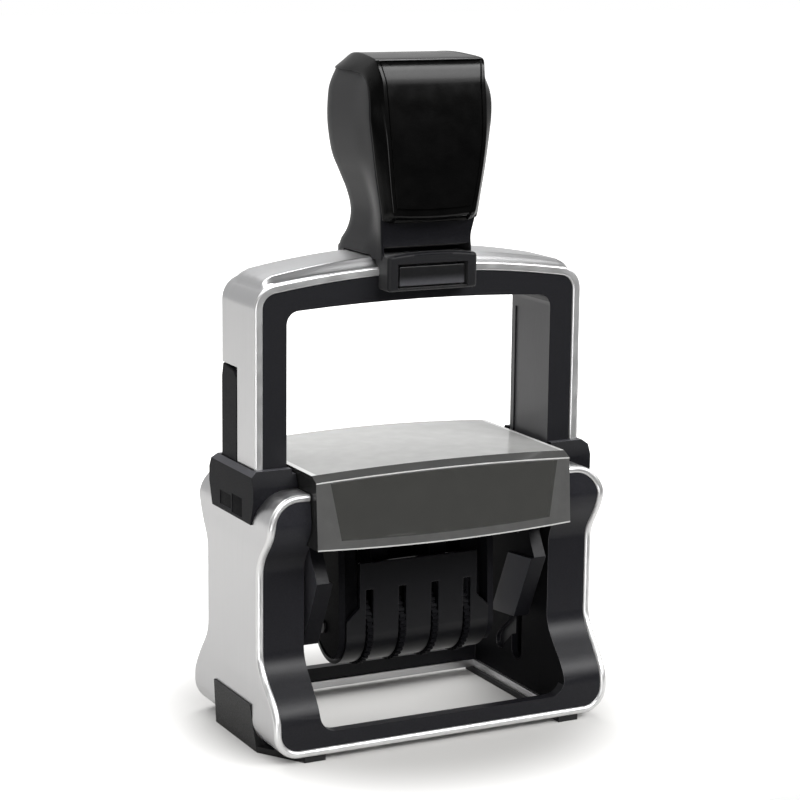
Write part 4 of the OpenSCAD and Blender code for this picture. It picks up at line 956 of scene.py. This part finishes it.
def soft_ring(z):
    """The section of the soft head at this height, from the middle of its front round to the back."""
    side, rim, back, front_y = (along(table, z) for table in (SOFT_WIDTH, RIM_WIDTH, SOFT_BACK, SOFT_FRONT))
    throat = THROAT * eased((THROAT_TOP - z) / THROAT_RUN)
    half = [(x, -front_y + throat * (1 - (x / rim) ** 2)) for x in steps(0, rim - RIM_ROUND, 6)]
    half += [(rim - RIM_ROUND + dx, -front_y + RIM_ROUND + dy)
             for dx, dy in arc((0, 0), RIM_ROUND, -60, 0, 2)]
    for y in steps(-front_y + RIM_ROUND, back - BACK_ROUND, 14)[1:-1]:
        half.append((side + (rim - side) * eased((WING_Y - y) / WING_RUN), y))
    half += arc((side - BACK_ROUND, back - BACK_ROUND), BACK_ROUND, 0, 90, 6)
    half += [(side - BACK_ROUND - (side - BACK_ROUND) * u, back + BACK_CROWN * eased(u))
             for u in (0.33, 0.66, 1)]
    return [(x, y, z) for x, y in half] + [(-x, y, z) for x, y in reversed(half[1:-1])]


grip = loft("grip_soft", [soft_ring(z) for z in steps(GRIP_LOW, GRIP_TOP, 60)])
print(grip.name, "from", GRIP_LOW, "to", GRIP_TOP, "mm")

# %% [markdown]
# ## The saddle
# The saddle is a block with a crowned top, joined to the head. A tunnel for the bail goes through it from
# side to side, a shallow mouth opens under the cap, and a window at the front takes the lock. Faces that look
# forward above the saddle lie in the cap's shade, so that shade is painted on them with a darker, duller
# plastic.

# %% Join the saddle
SADDLE_X, SADDLE_LOW, SADDLE_FRONT, SADDLE_BACK, SADDLE_CUT = 11.2, 102.6, -14.0, 14.0, 1.7
SADDLE_TOP, SADDLE_CROWN = 110.5, 0.8


def saddle_ring(x):
    """The section of the saddle at x. Its rear corners are cut off."""
    top = SADDLE_TOP + SADDLE_CROWN * (1 - (x / SADDLE_X) ** 2)
    back = SADDLE_BACK - max(0, SADDLE_CUT - (SADDLE_X - abs(x)))
    return [(x, SADDLE_FRONT, SADDLE_LOW), (x, SADDLE_FRONT, top), (x, back, top), (x, back, SADDLE_LOW)]


saddle = loft("saddle", [saddle_ring(x) for x in steps(-SADDLE_X, SADDLE_X, 14)])
round_edges(saddle, 0.8, 3)
grip = combine(grip, saddle, operation="UNION")
TUNNEL_YZ = [(-9.2, 90), (-9.2, 107.95), (-8.25, 107.95), (-6.4, 110.15), (6.4, 110.15), (8.25, 107.95),
             (9.2, 107.95), (9.2, 90)]
MOUTH_YZ = [(-13.1, 112.4), (-13.1, 110.9), (-10.9, 110.3), (-5.4, 110.3), (-5.2, 111.2), (-10.4, 112.3)]
TUNNEL_X, MOUTH_X = 20, 10.8
tunnel = loft("tunnel", [[(x, y, z) for y, z in TUNNEL_YZ] for x in (-TUNNEL_X, TUNNEL_X)])
mouth = loft("mouth", [[(x, y, z) for y, z in MOUTH_YZ] for x in (-MOUTH_X, MOUTH_X)])
lock_window = block("lock_window", (-8.75, -15, 103.25), (8.75, 15, 108.7))
# Forward faces above the saddle get painted shade from the duller plastic.
dress(combine(grip, tunnel, mouth, lock_window), "grip_core",
      tints=[(collar_and_shade_plastic, lambda middle, normal: normal.y < -MOSTLY and middle.z > SADDLE_TOP)])

# %% [markdown]
# ## The path of the gloss cap
# A hard glossy cap wraps over the front and the top of the soft grip. It is made like a strap: at each
# station of its path there is a rim, where it meets the soft grip, and a face that stands away from it. The
# stations are given where the strap bends, and smooth curves through them give the ones in between.

# %% Draw the path of the cap
# Each station: face y, z and half width, then rim y, z and half width, then how far the middle of the face
# hangs.
CAP_PATH = [((-12.2, 118.15, 10.0), (-12.0, 118.3, 11.75), 1.5),
            ((-13.4, 119.0, 10.02), (-12.0, 118.9, 11.9), 1.25),
            ((-14.35, 119.95, 10.07), (-12.0, 119.6, 12.0), 0.9),
            ((-14.55, 121.6, 10.34), (-12.0, 121.6, 12.3), 0.8),
            ((-14.75, 125, 10.87), (-12.0, 125, 12.85), 0.5),
            ((-15.0, 129.5, 11.45), (-12.0, 129.5, 13.6), 0.2),
            ((-15.15, 134, 11.94), (-12.0, 134, 14.2), 0),
            ((-14.95, 137.5, 12.2), (-12.0, 137.5, 14.65), 0),
            ((-14.6, 140.5, 12.36), (-12.0, 140.5, 15.0), 0),
            ((-14.1, 144.2, 12.45), (-11.9, 143.9, 15.05), 0),
            ((-13.55, 147.2, 12.5), (-11.1, 146.3, 14.95), 0),
            ((-13.15, 149.0, 12.62), (-9.7, 148.2, 14.75), 0),
            ((-12.6, 150.6, 12.9), (-8.0, 149.2, 14.45), 0),
            ((-11.95, 152.2, 13.2), (-6.2, 149.8, 14.2), 0),
            ((-11.3, 153.1, 13.35), (-4.5, 150.1, 14.05), 0),
            ((-10.1, 153.65, 13.2), (-2.8, 150.3, 13.95), 0),
            ((-6.0, 154.1, 12.7), (-0.5, 150.5, 13.85), 0),
            ((-1.0, 154.45, 11.9), (2.5, 150.55, 13.8), 0),
            ((4.0, 154.35, 11.2), (6, 150.55, 13.6), 0),
            ((8.0, 153.75, 10.3), (9.4, 150.55, 13.1), 0),
            ((10.8, 152.7, 9.4), (12.0, 150.5, 12.2), 0),
            ((12.4, 151.2, 8.6), (13.3, 150.45, 11.0), 0)]
FINE = 4


def finer(path, count):
    """More stations on smooth curves through the given ones."""
    rows = [(*face, *rim, hang) for face, rim, hang in path]
    tables = [[(k, row[c]) for k, row in enumerate(rows)] for c in range(7)]
    return [[along(table, k / count) for table in tables] for k in range((len(path) - 1) * count + 1)]


stations = finer(CAP_PATH, FINE)
print(len(CAP_PATH), "stations become", len(stations))

# %% [markdown]
# ## The gloss cap and its panel
# The section between rim and face is a wall with a rounded shoulder. The face carries a fine bezel, and a
# smooth panel sits inside the bezel. Cap and panel are lofts over the same stations, so the panel follows
# every bend of the cap.

# %% Strap the cap over the grip
SHOULDER = [(0, 0), (0.1, 0), (0.16, 0.03), (0.3, 0.16), (0.5, 0.385), (0.7, 0.61), (0.86, 0.79), (0.95, 0.9),
            (0.985, 0.965), (1.0, 1.04)]
BEZEL, BEZEL_EDGE, BEZEL_STEP, SUNK, BARELY_SUNK = 0.8, 0.12, 0.43, 0.55, 0.05
PANEL_GAP, PANEL_EDGE, PANEL_ROUND, PANEL_FIRST, PANEL_LAST = 0.06, 0.3, 0.09, 3 * FINE, 14 * FINE
ACROSS = (0.66, 0.33, 0, -0.33, -0.66)


def cap_ring(number, panel=False):
    """The section of the cap, or of the panel in it, at one station."""
    face_y, face_z, face_x, rim_y, rim_z, rim_x, hang = stations[number]
    out_y, out_z = face_y - rim_y, face_z - rim_z
    depth = math.hypot(out_y, out_z)

    def at(x, t):
        drop = hang * max(0, 1 - (x / rim_x) ** 2) * min(max(t, 0), 1)
        return (x, rim_y + out_y * t, rim_z + out_z * t - drop)
    inner = face_x - BEZEL
    sunk = 1 - (SUNK if number <= PANEL_LAST else BARELY_SUNK) / depth
    if panel:
        inner -= PANEL_GAP
        half = [(inner, sunk - PANEL_EDGE / depth), (inner, 1 - PANEL_EDGE / depth),
                (inner - PANEL_ROUND, 1 - PANEL_ROUND / depth), (inner - PANEL_EDGE, 1)]
    else:
        half = [(rim_x + (face_x - rim_x) * w, t) for t, w in SHOULDER]
        half += [(inner + BEZEL_EDGE, 1.0), (inner, min(1, sunk + BEZEL_STEP / depth)), (inner, sunk)]
    face = half + [(half[-1][0] * u, half[-1][1]) for u in ACROSS] + [(-x, t) for x, t in reversed(half)]
    under = [(half[0][0] * u, half[0][1]) for u in reversed(ACROSS)]
    return [at(x, t) for x, t in face + under]


cap = loft("cap_strap", [cap_ring(number) for number in range(len(stations))])
dress(cap, "grip_cap")
panel = loft("cap_panel", [cap_ring(number, True) for number in range(PANEL_FIRST, PANEL_LAST)])
dress(panel, "front_panel")

# %% [markdown]
# ## Trees for pieces that follow a rule
# A piece that repeats or follows a rule is a task for Geometry Nodes. A tree has named inputs for its sizes,
# so one tree can make pieces of several sizes. It ends by turning copies into real mesh and setting the
# finish, and the result is kept as a plain mesh.


# %% Prepare the trees
def new_tree(name, inputs):
    """A Geometry Nodes tree with named inputs (name, kind, value). Returns the tree and its input node."""
    tree = bpy.data.node_groups.new(name, "GeometryNodeTree")
    tree.interface.new_socket("Geometry", in_out="OUTPUT", socket_type="NodeSocketGeometry")
    for label, kind, value in inputs:
        socket = tree.interface.new_socket(label, in_out="INPUT", socket_type="NodeSocket" + kind)
        socket.default_value = value
    return tree, new_node(tree, "NodeGroupInput")


def end_tree(tree, geometry, finish):
    """The last steps of every tree: real mesh instead of instances, and the finish."""
    real = new_node(tree, "GeometryNodeRealizeInstances")
    paint = new_node(tree, "GeometryNodeSetMaterial")
    paint.inputs["Material"].default_value = finish
    link(tree, geometry, real.inputs[0])
    link(tree, real.outputs[0], paint.inputs["Geometry"])
    link(tree, paint.outputs[0], new_node(tree, "NodeGroupOutput").inputs[0])


def vector(tree, x=0, y=0, z=0):
    made = new_node(tree, "ShaderNodeCombineXYZ")
    feed(tree, made.inputs, (x, y, z))
    return made.outputs[0]


def shifted(tree, geometry, move=None, turn=None):
    """Moves the geometry by a linked vector, or turns it by fixed angles."""
    made = new_node(tree, "GeometryNodeTransform")
    link(tree, geometry, made.inputs["Geometry"])
    if move is not None:
        link(tree, move, made.inputs["Translation"])
    if turn is not None:
        made.inputs["Rotation"].default_value = turn
    return made.outputs[0]


def joined(tree, *parts):
    made = new_node(tree, "GeometryNodeJoinGeometry")
    for part in reversed(parts):
        link(tree, part, made.inputs[0])
    return made.outputs[0]


def grow(name, tree, values):
    """A plain mesh from a tree, with its inputs set by identifier before it is first evaluated."""
    made = bpy.data.objects.new(name, bpy.data.meshes.new(name))
    bpy.context.collection.objects.link(made)
    step = made.modifiers.new("grow", "NODES")
    step.node_group = tree
    known = {item.name: item.identifier for item in tree.interface.items_tree if item.in_out == "INPUT"}
    for label, value in values.items():
        step[known[label]] = value
    bake(made)
    return made


print("inputs of a tree are set by identifier")

# %% [markdown]
# ## Setting wheels
# Each date wheel is turned with a fingertip, so its rim is cut into teeth. One tooth is made once and set
# round the rim by a rule, and the number of teeth is just an input. A disc fills the rim and a smaller one
# makes the hub.

# %% Grow the wheels
WHEEL_R, TOOTH, TEETH, RIM, HUB_R, HUB_WIDTH = 9.6, 0.5, 40, 1.4, 4.6, 6.6
RIM_SIDES, HUB_SIDES, WHEEL_Z = 80, 48, 23.5


def disc(tree, radius, width, sides):
    """A cylinder whose axis lies along x."""
    made = new_node(tree, "GeometryNodeMeshCylinder")
    made.inputs["Vertices"].default_value = sides
    link(tree, radius, made.inputs["Radius"])
    link(tree, width, made.inputs["Depth"])
    return shifted(tree, made.outputs["Mesh"], turn=(0, math.pi / 2, 0))


tree, given = new_tree("setting_wheel", [("Radius", "Float", WHEEL_R * MM), ("Tooth", "Float", TOOTH * MM),
                                         ("Rim Width", "Float", RIM * MM), ("Teeth", "Int", TEETH),
                                         ("Hub Radius", "Float", HUB_R * MM),
                                         ("Hub Width", "Float", HUB_WIDTH * MM),
                                         ("Centre", "Vector", (0, 0, 0))])
size = given.outputs
root = maths(tree, "SUBTRACT", size["Radius"], size["Tooth"])
pitch = maths(tree, "DIVIDE", maths(tree, "MULTIPLY", root, math.tau), size["Teeth"])
tooth = new_node(tree, "GeometryNodeMeshCube")
tooth_size = vector(tree, size["Rim Width"], maths(tree, "MULTIPLY", pitch, 0.5),
                    maths(tree, "MULTIPLY", size["Tooth"], 2))
link(tree, tooth_size, tooth.inputs["Size"])
spots = new_node(tree, "GeometryNodePoints")
link(tree, size["Teeth"], spots.inputs["Count"])
number = new_node(tree, "GeometryNodeInputIndex").outputs[0]
angle = maths(tree, "DIVIDE", maths(tree, "MULTIPLY", number, math.tau), size["Teeth"])
teeth = new_node(tree, "GeometryNodeInstanceOnPoints")
link(tree, spots.outputs[0], teeth.inputs["Points"])
link(tree, shifted(tree, tooth.outputs["Mesh"], move=vector(tree, z=root)), teeth.inputs["Instance"])
link(tree, vector(tree, x=angle), teeth.inputs["Rotation"])
wheel = joined(tree, disc(tree, root, size["Rim Width"], RIM_SIDES),
               disc(tree, size["Hub Radius"], size["Hub Width"], HUB_SIDES), teeth.outputs[0])
end_tree(tree, shifted(tree, wheel, move=size["Centre"]), deep_shade_plastic)
for dial, x in WHEEL_X.items():
    wheel = grow(dial + "_toothed", tree, {"Centre": (x * MM, 0, WHEEL_Z * MM)})
    dress(wheel, dial + "_wheel", own_finish=True)

# %% [markdown]
# ## The comb behind the bands
# The date bands run side by side, and a thin bar behind them keeps them in their lanes. It is hidden from
# most sides, but without it the floor would shine through the narrow gap between two bands.

# %% Add the comb
add_backing(block("band_comb", (-18.3, 6.2, 36.4), (18.3, 6.9, 39.6)), 0.1, "carrier")

# %% [markdown]
# ## Return springs
# Two thin coil springs in the legs push the handle up again. A coil follows a rule too: a round profile goes
# along a spiral with so many turns.

# %% Wind the springs
SPRING_LOW, SPRING_TOP, SPRING_X, SPRING_Y, STROKE = 5.5, 92.0, 36.5, 5.0, 33.0
COIL, WIRE, TURNS, STEPS_IN_A_TURN, WIRE_SIDES = 1.85, 0.35, 20, 20, 10
COIL_HEIGHT = SPRING_TOP - SPRING_LOW - 2 * WIRE
tree, given = new_tree("return_spring", [("Coil Radius", "Float", COIL * MM),
                                         ("Wire Radius", "Float", WIRE * MM), ("Turns", "Float", TURNS),
                                         ("Height", "Float", COIL_HEIGHT * MM),
                                         ("Foot", "Vector", (0, 0, 0))])
size = given.outputs
spiral = new_node(tree, "GeometryNodeCurveSpiral")
spiral.inputs["Resolution"].default_value = STEPS_IN_A_TURN
for label, source in (("Rotations", "Turns"), ("Start Radius", "Coil Radius"), ("End Radius", "Coil Radius"),
                      ("Height", "Height")):
    link(tree, size[source], spiral.inputs[label])
profile = new_node(tree, "GeometryNodeCurvePrimitiveCircle")
profile.inputs["Resolution"].default_value = WIRE_SIDES
link(tree, size["Wire Radius"], profile.inputs["Radius"])
tube = new_node(tree, "GeometryNodeCurveToMesh")
tube.inputs["Fill Caps"].default_value = True
link(tree, spiral.outputs[0], tube.inputs["Curve"])
link(tree, profile.outputs[0], tube.inputs["Profile Curve"])
end_tree(tree, shifted(tree, tube.outputs[0], move=size["Foot"]), bright_steel)
for side, node in ((-1, "left_spring"), (1, "right_spring")):
    foot = (side * SPRING_X * MM, -side * SPRING_Y * MM, (SPRING_LOW + WIRE) * MM)
    coil = grow(node + "_coil", tree, {"Foot": foot})
    dress(coil, node, own_finish=True)
    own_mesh(coil)

# %% [markdown]
# ## The ink pad
# The pad is a slab of inked foam in its tray. Foam cut from a sheet is never sharp: towards the face its
# edges pull in. So it is a stack of rounded outlines that shrink towards the face.

# %% Fill the ink tray
PAD_ROUND = 2.0
# Each row: the share of the thickness above the face, and how far the outline pulls in there.
PAD_ROWS = ((0, 1.5), (0.04, 0.9), (0.12, 0.45), (0.3, 0.12), (0.55, 0.0), (1, 0.0))
pad_low, pad_high = (Vector(corner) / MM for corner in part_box("ink_pad"))


def pad_ring(z, inset):
    """The pad's outline at this height."""
    ring = []
    centre = (pad_low + pad_high) / 2
    half = (pad_high - pad_low) / 2
    for turn, (sx, sy) in enumerate(((1, 1), (-1, 1), (-1, -1), (1, -1))):
        corner = (centre.x + sx * (half.x - PAD_ROUND), centre.y + sy * (half.y - PAD_ROUND))
        ring += [(x, y, z) for x, y in arc(corner, PAD_ROUND - inset, 90 * turn, 90 * turn + 90, 6)]
    return ring


thick = pad_high.z - pad_low.z
pad = loft("ink_pad_foam", [pad_ring(pad_low.z + thick * share, inset) for share, inset in PAD_ROWS])
dress(pad, "ink_pad")
